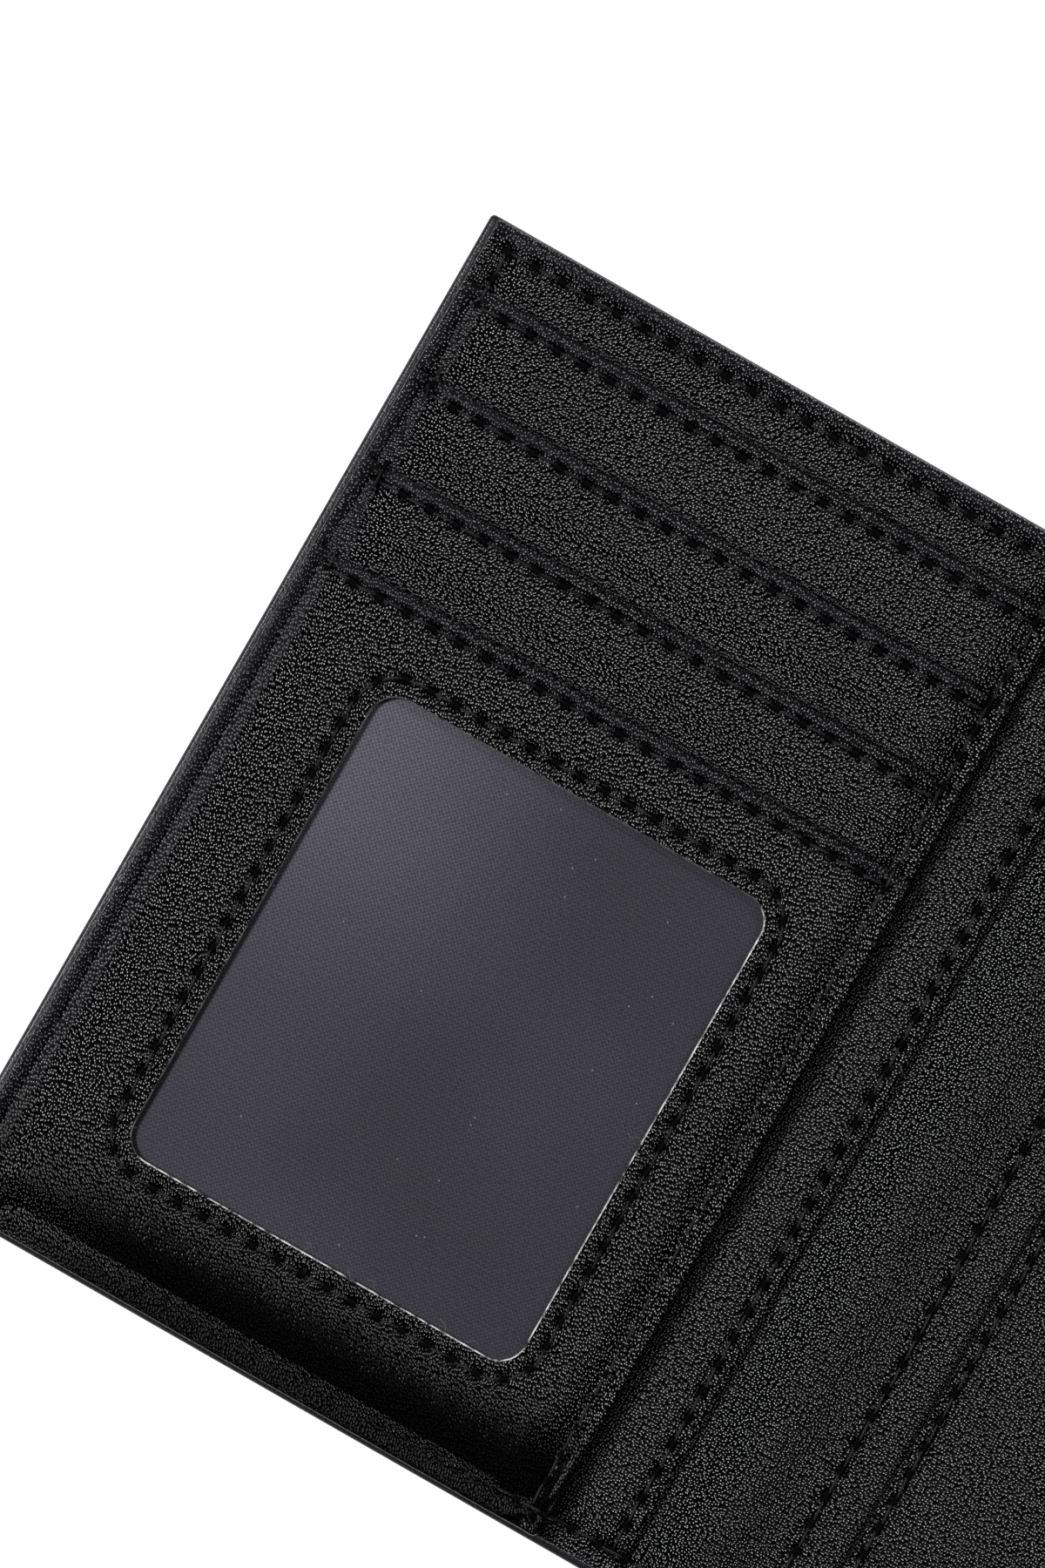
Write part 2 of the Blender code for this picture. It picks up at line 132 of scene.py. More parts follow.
def settle(x, y, z):
    # everything above the shell sinks along the sewn edges, and swells a little between them
    edge = np.minimum(np.minimum(x - insideX[0], insideX[1] - x), y - insideY[0])
    shut = settling["shut"] * (1 - ease(edge, 0, settling["shutReach"]))
    pull = np.maximum(bell(x - leftSeamX, settling["seamReach"]), bell(x - rightSeamX, settling["seamReach"]))
    pull = np.maximum(pull, bell(y - bottomSeamY, settling["seamReach"]))
    pull = np.maximum(pull, 0.8 * bell(x - leftStackSeamX, settling["seamReach"]))
    pull = np.maximum(pull, 0.8 * bell(x - rightStackSeamX, settling["seamReach"]))
    pull = np.maximum(pull, 0.5 * bell(y - topSeamY, settling["seamReach"]))
    above = np.clip(z - shellTop, 0, None)
    lift = settling["crown"] * waves(x, y, 2) * ease(edge, 1 * mm, 12 * mm)
    for outer, inner in ((leftSeamX, leftStackSeamX), (rightSeamX, rightStackSeamX)):
        low, high = sorted((outer, inner))
        within = 1 - np.exp(-np.clip(x - low, 0, None) / settling["pillowReach"])
        within = within * (1 - np.exp(-np.clip(high - x, 0, None) / settling["pillowReach"]))
        lift = lift + settling["pillow"] * within * ease(y - insideY[0], 1 * mm, 9 * mm)
    return np.where(z > shellTop, z - shut - above * settling["squeeze"] * pull + lift, z)


# Seams: each is a path of points in X and Y, with its holes spaced along it.

seamValues = {"stitch": 2.82 * mm, "windowStitch": 2.6 * mm, "perStitch": 10, "groove": 0.11 * mm,
              "grooveWidth": 0.5 * mm, "hole": 0.26 * mm, "holeWidth": 0.5 * mm}
seams = {}


def pathLength(points):
    return np.concatenate([[0], np.cumsum(np.linalg.norm(np.diff(points, axis=0), axis=1))])


def resample(points, count):
    length = pathLength(points)
    wanted = np.linspace(0, length[-1], count)
    return np.stack([np.interp(wanted, length, points[:, axis]) for axis in range(points.shape[1])], axis=1)


def addSeam(name, corners, closed=False, stitch=None):
    # records a seam that runs through the corners, with a whole number of stitches
    points = np.array(corners + corners[:1] if closed else corners, float)
    count = max(2, round(pathLength(points)[-1] / (stitch or seamValues["stitch"])))
    path = resample(points, count * seamValues["perStitch"] + 1)
    seams[name] = {"path": path, "holes": path[::seamValues["perStitch"]], "closed": closed}


def roundedLoop(spanX, spanY, radius, sideCount, arcCount):
    # points round a rectangle with round corners, the same number on each side and each corner
    points = []
    lowX, highX = spanX[0] + radius, spanX[1] - radius
    lowY, highY = spanY[0] + radius, spanY[1] - radius
    centres = [(highX, lowY), (highX, highY), (lowX, highY), (lowX, lowY)]
    for turn, (cx, cy) in enumerate(centres):
        start = math.pi / 2 * (turn - 1)
        arc = [(cx + radius * math.cos(start + math.pi / 2 * k / arcCount),
                cy + radius * math.sin(start + math.pi / 2 * k / arcCount)) for k in range(arcCount + 1)]
        nextX, nextY = centres[(turn + 1) % 4]
        end = start + math.pi / 2
        finish = (nextX + radius * math.cos(end), nextY + radius * math.sin(end))
        side = [(arc[-1][0] + (finish[0] - arc[-1][0]) * k / sideCount,
                 arc[-1][1] + (finish[1] - arc[-1][1]) * k / sideCount) for k in range(1, sideCount)]
        points += arc + side
    return np.array(points)


def marks(x, y, names, holes=True):
    # how far the seams press a surface in at x and y
    depth = np.zeros(x.shape)
    for line, hole, near in seamDistances(x, y, names):
        press = seamValues["groove"] * bell(line, seamValues["grooveWidth"])
        if holes:
            press += seamValues["hole"] * bell(hole, seamValues["holeWidth"])
        depth[near] = np.maximum(depth[near], press)
    return depth


def pressed(x, y, names):
    # 1 at the holes of the seams and along their crease, where painted shade darkens the leather and the
    # grain is pinched flat
    mask = np.zeros(x.shape)
    for number, (line, hole, near) in enumerate(seamDistances(x, y, names)):
        crease = 0.7 if names[number].endswith("Side") else 0.2
        pinch = np.maximum(np.clip(1.7 * bell(hole, 0.52 * mm), 0, 1), crease * bell(line, 0.35 * mm))
        mask[near] = np.maximum(mask[near], pinch)
    return mask


def seamDistances(x, y, names):
    # for each seam: distances to its line and to its holes, at the places near it
    for name in names:
        path = seams[name]["path"]
        steps = np.arange(len(path)) % seamValues["perStitch"]
        beside = path[(steps <= 1) | (steps == seamValues["perStitch"] - 1)]
        reach = 1.6 * mm
        low, high = path.min(axis=0) - reach, path.max(axis=0) + reach
        near = np.nonzero((x > low[0]) & (x < high[0]) & (y > low[1]) & (y < high[1]))
        places = np.stack([x[near], y[near]], axis=1)
        line, hole = np.full((2, len(places)), 1.0)
        for start in range(0, len(places), 4000):
            part = slice(start, start + 4000)
            line[part] = nearest(places[part], path)
            hole[part] = nearest(places[part], beside)
        yield line, hole, near


def nearest(places, points):
    return np.sqrt(((places[:, None, :] - points[None, :, :2]) ** 2).sum(axis=2).min(axis=1))


# Sheets: a grid with rounded rims, its top and underside given as functions of X and Y.

surfaces = {}  # body name -> list of (span in X, span in Y, top) for laying threads on


def axisPlaces(span, rounds, radius, step, fine=(), fineStep=None):
    # places along one axis: flat place, lean of the rim from -1 to 1, length along the leather
    low = span[0] + (radius if rounds[0] else 0)
    high = span[1] - (radius if rounds[1] else 0)
    stops = {low, high}
    for zone in fine:
        stops.update(place for place in zone if low < place < high)
    stops = sorted(stops)
    places = [low]
    for start, end in zip(stops, stops[1:]):
        centre = (start + end) / 2
        close = any(zone[0] < centre < zone[1] for zone in fine)
        count = max(1, round((end - start) / (fineStep if close else step)))
        places += [start + (end - start) * turn / count for turn in range(1, count + 1)]
    rim = [math.radians(angle) for angle in (90, 62, 38, 18)]
    flat, lean, along = [], [], []
    if rounds[0]:
        flat += [low] * 4
        lean += [-math.sin(a) for a in rim]
        along += [low - radius * a for a in rim]
    flat += places
    lean += [0] * len(places)
    along += places
    if rounds[1]:
        flat += [high] * 4
        lean += [math.sin(a) for a in reversed(rim)]
        along += [high + radius * a for a in reversed(rim)]
    return np.array(flat), np.array(lean), np.array(along)


def stretched(along, edges):
    # length along the leather for its grain, which is drawn out over turned edges
    result = along.copy()
    for place, direction, amount, reach in edges:
        inward = np.clip((along - place) * direction, 0, None)
        result -= direction * amount * reach * (1 - np.exp(-inward / reach))
    return result


def meshPiece(name, points, faces, grain, material, flatAngle=42, masks=None):
    # masks are values from 0 to 1 for each point that the finishes read by name
    mesh = bpy.data.meshes.new(name)
    mesh.from_pydata(points, [], faces)
    for label, values in (masks or {}).items():
        mesh.attributes.new(label, "FLOAT", "POINT").data.foreach_set("value", np.asarray(values, np.float32))
    layer = mesh.uv_layers.new(name="leather")
    corners = np.empty(len(mesh.loops), np.int32)
    mesh.loops.foreach_get("vertex_index", corners)
    layer.data.foreach_set("uv", np.asarray(grain, np.float32)[corners].ravel())
    mesh.polygons.foreach_set("use_smooth", [True] * len(mesh.polygons))
    mesh.set_sharp_from_angle(angle=math.radians(flatAngle))
    mesh.materials.append(material)
    mesh.update()
    piece = bpy.data.objects.new(name, mesh)
    bpy.context.scene.collection.objects.link(piece)
    return piece


def sheetPiece(name, placesX, placesY, radius, top, bottom, material, stretchX=(), stretchY=(),
               capped=False, masks=None):
    # a closed sheet: top and bottom are functions of X and Y, and the rims are rounded by radius
    flatX, leanX, alongX = placesX
    flatY, leanY, alongY = placesY
    countX, countY = len(flatX), len(flatY)
    fx, fy = np.meshgrid(flatX, flatY, indexing="ij")
    lx, ly = np.meshgrid(leanX, leanY, indexing="ij")
    lean = np.hypot(lx, ly)
    scale = np.where(lean > 1, 1 / np.maximum(lean, 1e-9), 1)
    x, y = fx + radius * lx * scale, fy + radius * ly * scale
    drop = radius * (1 - np.sqrt(np.clip(1 - (lean * scale) ** 2, 0, 1)))
    upper = np.stack([x, y, top(x, y) - drop], axis=2).reshape(-1, 3)
    grainX, grainY = np.meshgrid(stretched(alongX, stretchX), stretched(alongY, stretchY), indexing="ij")
    grain = np.stack([grainX, grainY], axis=2).reshape(-1, 2)
    index = np.arange(countX * countY).reshape(countX, countY)
    quads = np.stack([index[:-1, :-1], index[1:, :-1], index[1:, 1:], index[:-1, 1:]], axis=2).reshape(-1, 4)
    ring = np.concatenate([index[:, 0], index[-1, 1:], index[-2::-1, -1], index[0, -2:0:-1]])
    if capped:
        rimX, rimY = x.reshape(-1)[ring], y.reshape(-1)[ring]
        lower = np.stack([rimX, rimY, bottom(rimX, rimY)], axis=1)
        below = np.arange(len(ring)) + len(upper)
        cap = [list(map(int, below[::-1]))]
        outward = np.stack([lx, ly], axis=2).reshape(-1, 2)[ring]
        lowerGrain = grain[ring] + outward * (upper[ring, 2] - lower[:, 2])[:, None]
    else:
        lower = np.stack([x, y, bottom(x, y) + drop], axis=2).reshape(-1, 3)
        below = ring + len(upper)
        cap = (quads[:, ::-1] + len(upper)).tolist()
        lowerGrain = grain
    walls = np.stack([ring, below, np.roll(below, -1), np.roll(ring, -1)], axis=1).tolist()
    points = np.concatenate([upper, lower])
    values = {label: mask(points[:, 0], points[:, 1]) for label, mask in (masks or {}).items()}
    return meshPiece(name, points.tolist(), quads.tolist() + walls + cap, np.concatenate([grain, lowerGrain]),
                     material, masks=values)


def laidOn(body, spanX, spanY, top):
    surfaces.setdefault(body, []).append((spanX, spanY, top))


def highestAt(body, x, y):
    height = np.full(np.shape(x), -1.0)
    slack = 1e-6
    for spanX, spanY, top in surfaces[body]:
        across = (x >= spanX[0] - slack) & (x <= spanX[1] + slack)
        inside = across & (y >= spanY[0] - slack) & (y <= spanY[1] + slack)
        height = np.where(inside, np.maximum(height, top(x, y)), height)
    return height


# Finishes. Leather reads the piece's own leather map, whose unit is the metre.

def groupTree(name, inputs, outputs):
    # an empty shader group: inputs are (name, type, value), outputs are (name, type)
    tree = bpy.data.node_groups.new(name, "ShaderNodeTree")
    for label, kind, value in inputs:
        socket = tree.interface.new_socket(name=label, in_out="INPUT", socket_type=kind)
        if value is not None:
            socket.default_value = value
    for label, kind in outputs:
        tree.interface.new_socket(name=label, in_out="OUTPUT", socket_type=kind)
    return tree, tree.nodes.new("NodeGroupInput"), tree.nodes.new("NodeGroupOutput")


def mathNode(tree, operation, first, second=None, third=None, clamp=False):
    node = tree.nodes.new("ShaderNodeMath")
    node.operation = operation
    node.use_clamp = clamp
    for socket, value in zip(node.inputs, (first, second, third)):
        if value is None:
            continue
        if isinstance(value, (int, float)):
            socket.default_value = value
        else:
            tree.links.new(value, socket)
    return node.outputs[0]


def vectorNode(tree, operation, first, second=None):
    node = tree.nodes.new("ShaderNodeVectorMath")
    node.operation = operation
    tree.links.new(first, node.inputs[0])
    if isinstance(second, tuple):
        node.inputs[1].default_value = second
    elif second is not None:
        tree.links.new(second, node.inputs["Scale" if operation == "SCALE" else 1])
    return node.outputs[0]


def noiseNode(tree, vector, scale, detail=2.0, rough=0.5, flat=True):
    node = tree.nodes.new("ShaderNodeTexNoise")
    node.noise_dimensions = "2D" if flat else "3D"
    tree.links.new(vector, node.inputs["Vector"])
    node.inputs["Scale"].default_value = scale
    node.inputs["Detail"].default_value = detail
    node.inputs["Roughness"].default_value = rough
    return node


def pebbleGrainGroup():
    # domed cells with creases between, drawn unevenly as on pressed leather; the last output is a painted
    # highlight, a pale spot at each dome's crown
    inputs = [("Vector", "NodeSocketVector", None), ("Cells per metre", "NodeSocketFloat", 2500.0),
              ("Crease", "NodeSocketFloat", 1.5), ("Wander", "NodeSocketFloat", 0.35)]
    outputs = [(label, "NodeSocketFloat") for label in ("Height", "Tone", "Tip")]
    tree, given, result = groupTree("pebbleGrain", inputs, outputs)
    scaled = vectorNode(tree, "SCALE", given.outputs["Vector"], given.outputs["Cells per metre"])
    wander = noiseNode(tree, scaled, 0.16, 1.0)
    centred = vectorNode(tree, "SUBTRACT", wander.outputs["Color"], (0.5, 0.5, 0.5))
    moved = vectorNode(tree, "SCALE", centred, given.outputs["Wander"])
    moved = vectorNode(tree, "SCALE", moved, mathNode(tree, "MULTIPLY", given.outputs["Wander"], 10))
    place = vectorNode(tree, "ADD", scaled, moved)
    cells = tree.nodes.new("ShaderNodeTexVoronoi")
    cells.voronoi_dimensions = "2D"
    cells.feature = "F1"
    cells.inputs["Scale"].default_value = 1.0
    cells.inputs["Randomness"].default_value = 0.72
    tree.links.new(place, cells.inputs["Vector"])
    squared = mathNode(tree, "POWER", cells.outputs["Distance"], 2.0)
    dome = mathNode(tree, "SUBTRACT", 1.0, mathNode(tree, "MULTIPLY", squared, given.outputs["Crease"]))
    patch = noiseNode(tree, scaled, 0.06, 2.0)
    strength = mathNode(tree, "ADD", mathNode(tree, "MULTIPLY", patch.outputs[0], 0.3), 0.85)
    own = mathNode(tree, "ADD", mathNode(tree, "MULTIPLY", cells.outputs["Color"], 0.12), 0.94)
    height = mathNode(tree, "MULTIPLY", mathNode(tree, "MULTIPLY", dome, strength), own)
    tree.links.new(height, result.inputs["Height"])
    tree.links.new(mathNode(tree, "MULTIPLY", dome, 1.0, clamp=True), result.inputs["Tone"])
    # painted highlight: a small pale disc at the crown of each cell, brighter in some cells than in others
    near = mathNode(tree, "SUBTRACT", 1.0, mathNode(tree, "MULTIPLY", squared, 24.0), clamp=True)
    uneven = mathNode(tree, "ADD", mathNode(tree, "MULTIPLY", cells.outputs["Color"], 0.65), 0.35)
    uneven = mathNode(tree, "MULTIPLY", uneven, strength)
    tree.links.new(mathNode(tree, "MULTIPLY", near, uneven), result.inputs["Tip"])
    return tree


def plainWeaveGroup():
    # over and under threads of a plain weave
    inputs = [("Vector", "NodeSocketVector", None), ("Threads per metre", "NodeSocketFloat", 3300.0)]
    outputs = [("Height", "NodeSocketFloat"), ("Tone", "NodeSocketFloat")]
    tree, given, result = groupTree("plainWeave", inputs, outputs)
    scaled = vectorNode(tree, "SCALE", given.outputs["Vector"], given.outputs["Threads per metre"])
    parts = tree.nodes.new("ShaderNodeSeparateXYZ")
    tree.links.new(scaled, parts.inputs[0])
    across, along = parts.outputs["X"], parts.outputs["Y"]
    warp = mathNode(tree, "ABSOLUTE", mathNode(tree, "SINE", mathNode(tree, "MULTIPLY", across, math.pi)))
    weft = mathNode(tree, "ABSOLUTE", mathNode(tree, "SINE", mathNode(tree, "MULTIPLY", along, math.pi)))
    cell = mathNode(tree, "ADD", mathNode(tree, "FLOOR", across), mathNode(tree, "FLOOR", along))
    over = mathNode(tree, "FLOORED_MODULO", cell, 2.0)
    under = mathNode(tree, "SUBTRACT", 1.0, over)
    height = mathNode(tree, "ADD", mathNode(tree, "MULTIPLY", warp, over),
                      mathNode(tree, "MULTIPLY", weft, under))
    tree.links.new(height, result.inputs["Height"])
    uneven = noiseNode(tree, scaled, 0.12, 3.0)
    tree.links.new(mathNode(tree, "MULTIPLY", height, uneven.outputs[0]), result.inputs["Tone"])
    return tree


def fineDustGroup():
    # sparse pale specks
    inputs = [("Vector", "NodeSocketVector", None), ("Specks per metre", "NodeSocketFloat", 900.0),
              ("Amount", "NodeSocketFloat", 0.05)]
    tree, given, result = groupTree("fineDust", inputs, [("Mask", "NodeSocketFloat")])
    scaled = vectorNode(tree, "SCALE", given.outputs["Vector"], given.outputs["Specks per metre"])
    cells = tree.nodes.new("ShaderNodeTexVoronoi")
    cells.voronoi_dimensions = "2D"
    cells.inputs["Scale"].default_value = 1.0
    tree.links.new(scaled, cells.inputs["Vector"])
    small = mathNode(tree, "LESS_THAN", cells.outputs["Distance"], 0.11)
    parts = tree.nodes.new("ShaderNodeSeparateColor")
    tree.links.new(cells.outputs["Color"], parts.inputs[0])
    chosen = mathNode(tree, "LESS_THAN", parts.outputs[0], given.outputs["Amount"])
    tree.links.new(mathNode(tree, "MULTIPLY", small, chosen), result.inputs["Mask"])
    return tree


pebbleGrain, plainWeave, fineDust = pebbleGrainGroup(), plainWeaveGroup(), fineDustGroup()


def placeGroup(tree, group, vector, **values):
    node = tree.nodes.new("ShaderNodeGroup")
    node.node_tree = group
    tree.links.new(vector, node.inputs["Vector"])
    for label, value in values.items():
        node.inputs[label.replace("_", " ")].default_value = value
    return node


def newFinish(name, roughness, **fixed):
    material = bpy.data.materials.new(name)
    material.use_nodes = True
    shader = material.node_tree.nodes["Principled BSDF"]
    shader.inputs["Roughness"].default_value = roughness
    for label, value in fixed.items():
        shader.inputs[label.replace("_", " ")].default_value = value
    return material, material.node_tree, shader


def mixColour(tree, factor, first, second):
    node = tree.nodes.new("ShaderNodeMix")
    node.data_type = "RGBA"
    for socket, value in zip((node.inputs[6], node.inputs[7]), (first, second)):
        if isinstance(value, tuple):
            socket.default_value = value
        else:
            tree.links.new(value, socket)
    tree.links.new(factor, node.inputs[0])
    return node.outputs[2]


def addBump(tree, shader, height, distance, strength=1.0, under=None):
    node = tree.nodes.new("ShaderNodeBump")
    node.inputs["Distance"].default_value = distance
    node.inputs["Strength"].default_value = strength
    tree.links.new(height, node.inputs["Height"])
    if under is not None:
        tree.links.new(under, node.inputs["Normal"])
    tree.links.new(node.outputs["Normal"], shader.inputs["Normal"])
    return node.outputs["Normal"]


def leatherMap(tree):
    node = tree.nodes.new("ShaderNodeUVMap")
    node.uv_map = "leather"
    return node.outputs["UV"]


def leatherFinish(name, look):
    material, tree, shader = newFinish(name, look["roughness"], Specular_IOR_Level=look["specular"])
    place = leatherMap(tree)
    grain = placeGroup(tree, pebbleGrain, place, Cells_per_metre=look["cells"], Crease=look["crease"],
                       Wander=look["wander"])
    dust = placeGroup(tree, fineDust, place, Specks_per_metre=700.0, Amount=look["dust"])
    wornAndSheen, pinchShade = (mathNode(tree, "MULTIPLY", pointValue(tree, label), 1.0)
                     for label in ("wear", "pressed"))
    tone = mixColour(tree, grain.outputs["Tone"], look["creaseColour"], look["colour"])
    # painted sheen together with real rubbing: the turned edges are lighter and violet-grey
    tone = mixColour(tree, wornAndSheen, tone, look["wornColour"])
    # painted highlights: a pale spot at each grain crown, fewer and fainter on the turned edges
    glintAndGrainShare = mathNode(tree, "SUBTRACT", 1.0, mathNode(tree, "MULTIPLY", wornAndSheen, look["wornFlat"]))
    tone = mixColour(tree, mathNode(tree, "MULTIPLY", grain.outputs["Tip"], glintAndGrainShare), tone,
                     look["tipColour"])
    tone = mixColour(tree, mathNode(tree, "MULTIPLY", dust.outputs["Mask"], 0.5), tone, (0.12, 0.12, 0.12, 1))
    # painted shade: near black at the seam holes and creases, beside edges lying on this piece, and at the
    # foot of the front pocket
    tone = mixColour(tree, pinchShade, tone, (0.0005, 0.0005, 0.0005, 1))
    tree.links.new(tone, shader.inputs["Base Color"])
    patch = noiseNode(tree, place, 70.0, 3.0)
    rough = mathNode(tree, "ADD", mathNode(tree, "MULTIPLY", patch.outputs[0], look["roughSpread"]),
                     look["roughness"] - look["roughSpread"] / 2)
    rough = mathNode(tree, "ADD", rough, mathNode(tree, "MULTIPLY", wornAndSheen, look["wornRough"]))
    rough = mathNode(tree, "ADD", rough, mathNode(tree, "MULTIPLY", pinchShade, -0.04), clamp=True)
    tree.links.new(rough, shader.inputs["Roughness"])
    soft = addBump(tree, shader, noiseNode(tree, place, 260.0, 3.0).outputs[0], look["softDepth"])
    flatter = mathNode(tree, "SUBTRACT", 1.0, mathNode(tree, "MULTIPLY", pinchShade, 0.6))
    flatter = mathNode(tree, "MULTIPLY", glintAndGrainShare, flatter)
    addBump(tree, shader, mathNode(tree, "MULTIPLY", grain.outputs["Height"], flatter), look["depth"], 1.0,
            soft)
    return material


def pointValue(tree, label):
    node = tree.nodes.new("ShaderNodeAttribute")
    node.attribute_name = label
    return node.outputs["Fac"]


# the pale crown colour in both looks is a painted highlight, and the violet-grey of the turned edges is
# partly a painted sheen
innerLook = {"colour": (0.0014, 0.0014, 0.0016, 1), "creaseColour": (0.0004, 0.0004, 0.0004, 1),
             "tipColour": (0.9, 0.9, 0.93, 1), "wornColour": (0.011, 0.0105, 0.013, 1), "wornRough": 0.1,
             "wornFlat": 0.6, "roughness": 0.24, "roughSpread": 0.05, "specular": 0.1, "cells": 3400.0,
             "crease": 1.5, "wander": 0.3, "depth": 0.085 * mm, "softDepth": 0.006 * mm, "dust": 0.004}
shellLook = {"colour": (0.016, 0.015, 0.02, 1), "creaseColour": (0.008, 0.0075, 0.01, 1),
             "tipColour": (0.03, 0.029, 0.036, 1), "wornColour": (0.012, 0.012, 0.014, 1), "wornRough": 0.1,
             "wornFlat": 0.5, "roughness": 0.34, "roughSpread": 0.08, "specular": 0.4, "cells": 3300.0,
             "crease": 1.2, "wander": 0.3, "depth": 0.025 * mm, "softDepth": 0.05 * mm, "dust": 0.004}
innerLeather = leatherFinish("innerLeather", innerLook)
shellLeather = leatherFinish("shellLeather", shellLook)


def liningFinish():
    material, tree, shader = newFinish("liningFabric", 0.8, Sheen_Weight=0.25)
    weave = placeGroup(tree, plainWeave, leatherMap(tree), Threads_per_metre=3300.0)
    tree.links.new(mixColour(tree, weave.outputs["Tone"], (0.006, 0.006, 0.007, 1), (0.03, 0.03, 0.033, 1)),
                   shader.inputs["Base Color"])
    addBump(tree, shader, weave.outputs["Height"], 0.05 * mm)
    return material


def filmFinish(look):
    material, tree, shader = newFinish("windowFilm", look["roughness"], Specular_IOR_Level=look["specular"])
    place = leatherMap(tree)
    turned = tree.nodes.new("ShaderNodeMapping")
    turned.inputs["Rotation"].default_value = (0, 0, math.radians(45))
    tree.links.new(place, turned.inputs["Vector"])
    weave = placeGroup(tree, plainWeave, turned.outputs[0], Threads_per_metre=look["mesh"])
    dust = placeGroup(tree, fineDust, place, Specks_per_metre=1400.0, Amount=0.006)
    cloud = mathNode(tree, "MULTIPLY", noiseNode(tree, place, 40.0, 2.0).outputs[0], 0.3)
    # painted highlight: the film is paler in the patch where it catches the light, and cloudy at random
    tone = mixColour(tree, mathNode(tree, "ADD", pointValue(tree, "haze"), cloud, clamp=True), look["dark"],
                     look["light"])
    tone = mixColour(tree, mathNode(tree, "MULTIPLY", weave.outputs["Height"], look["threads"]), tone,
                     (0.02, 0.018, 0.026, 1))
    speckle = noiseNode(tree, place, 3300.0, 1.0).outputs[0]
    tone = mixColour(tree, mathNode(tree, "MULTIPLY", speckle, look["speckle"]), tone, (0, 0, 0, 1))
    tone = mixColour(tree, mathNode(tree, "MULTIPLY", dust.outputs["Mask"], 0.5), tone, (0.45, 0.45, 0.5, 1))
    tree.links.new(tone, shader.inputs["Base Color"])
    frost = noiseNode(tree, place, 5200.0, 1.0)
    soft = addBump(tree, shader, weave.outputs["Height"], look["meshDepth"])
    addBump(tree, shader, frost.outputs[0], look["frost"], 1.0, soft)
    return material


def threadFinish():
    material, tree, shader = newFinish("seamThread", 0.5, Specular_IOR_Level=0.35)
    parts = []
    for name, turns in (("along", 2600.0), ("around", 2.0)):
        node = tree.nodes.new("ShaderNodeAttribute")
        node.attribute_name = name
        parts.append(mathNode(tree, "MULTIPLY", node.outputs["Fac"], turns))
    twist = mathNode(tree, "SINE", mathNode(tree, "MULTIPLY", mathNode(tree, "ADD", *parts), 2 * math.pi))
    # painted glints and painted shade: each ply of the twist is painted lighter on its crest and darker
    # between, with a bump of the same twist
    shade = mathNode(tree, "ADD", mathNode(tree, "MULTIPLY", twist, 0.5), 0.5)
    tone = mixColour(tree, shade, (0.002, 0.002, 0.002, 1), (0.035, 0.034, 0.038, 1))
    tree.links.new(tone, shader.inputs["Base Color"])
    addBump(tree, shader, twist, 0.03 * mm)
    return material


def rawFinish():
    # the pale cut through the leather, with painted light: palest on the sides of the window that face the
    # light, broken up by noise
    material, tree, shader = newFinish("cutEdge", 0.7)
    broken = noiseNode(tree, leatherMap(tree), 900.0, 3.0).outputs[0]
    broken = mathNode(tree, "MULTIPLY", mathNode(tree, "SUBTRACT", broken, 0.32), 3.2, clamp=True)
    share = mathNode(tree, "MULTIPLY", pointValue(tree, "raw"), broken)
    tree.links.new(mixColour(tree, share, (0.02, 0.02, 0.022, 1), (0.95, 0.93, 0.93, 1)),
                   shader.inputs["Base Color"])
    return material


# the light colour is a painted highlight on part of the film
filmLook = {"dark": (0.05, 0.045, 0.066, 1), "light": (0.27, 0.253, 0.325, 1), "roughness": 0.5,
            "specular": 0.3, "mesh": 3300.0, "meshDepth": 0.01 * mm, "frost": 0.008 * mm,
            "speckle": 0.55, "threads": 0.75}
liningFabric = liningFinish()
windowFilm = filmFinish(filmLook)
seamThread = threadFinish()
# painted shade: a near-black finish for the balls sunk at the holes, which stand for the shade inside them
threadHole = newFinish("threadHole", 0.9, Base_Color=(0.0008, 0.0008, 0.0008, 1), Specular_IOR_Level=0.1)[0]
cutEdge = rawFinish()
looseFibre = newFinish("looseFibre", 0.6, Base_Color=(0.3, 0.3, 0.32, 1))[0]
print("finishes made")


# Stitches: one tree runs the thread from hole to hole along a seam. The guide has a point for
# each step of the thread, the same number of steps to every stitch.

stitchValues = {"Thread width": 0.28 * mm, "Arch": 0.04 * mm, "Dip": 0.4 * mm, "Slant": 0.13 * mm,
                "Looseness": 0.05 * mm, "Hole length": 1.1 * mm, "Hole width": 0.55 * mm,
                "Hole depth": 0.3 * mm, "Hole sink": 0.12 * mm}


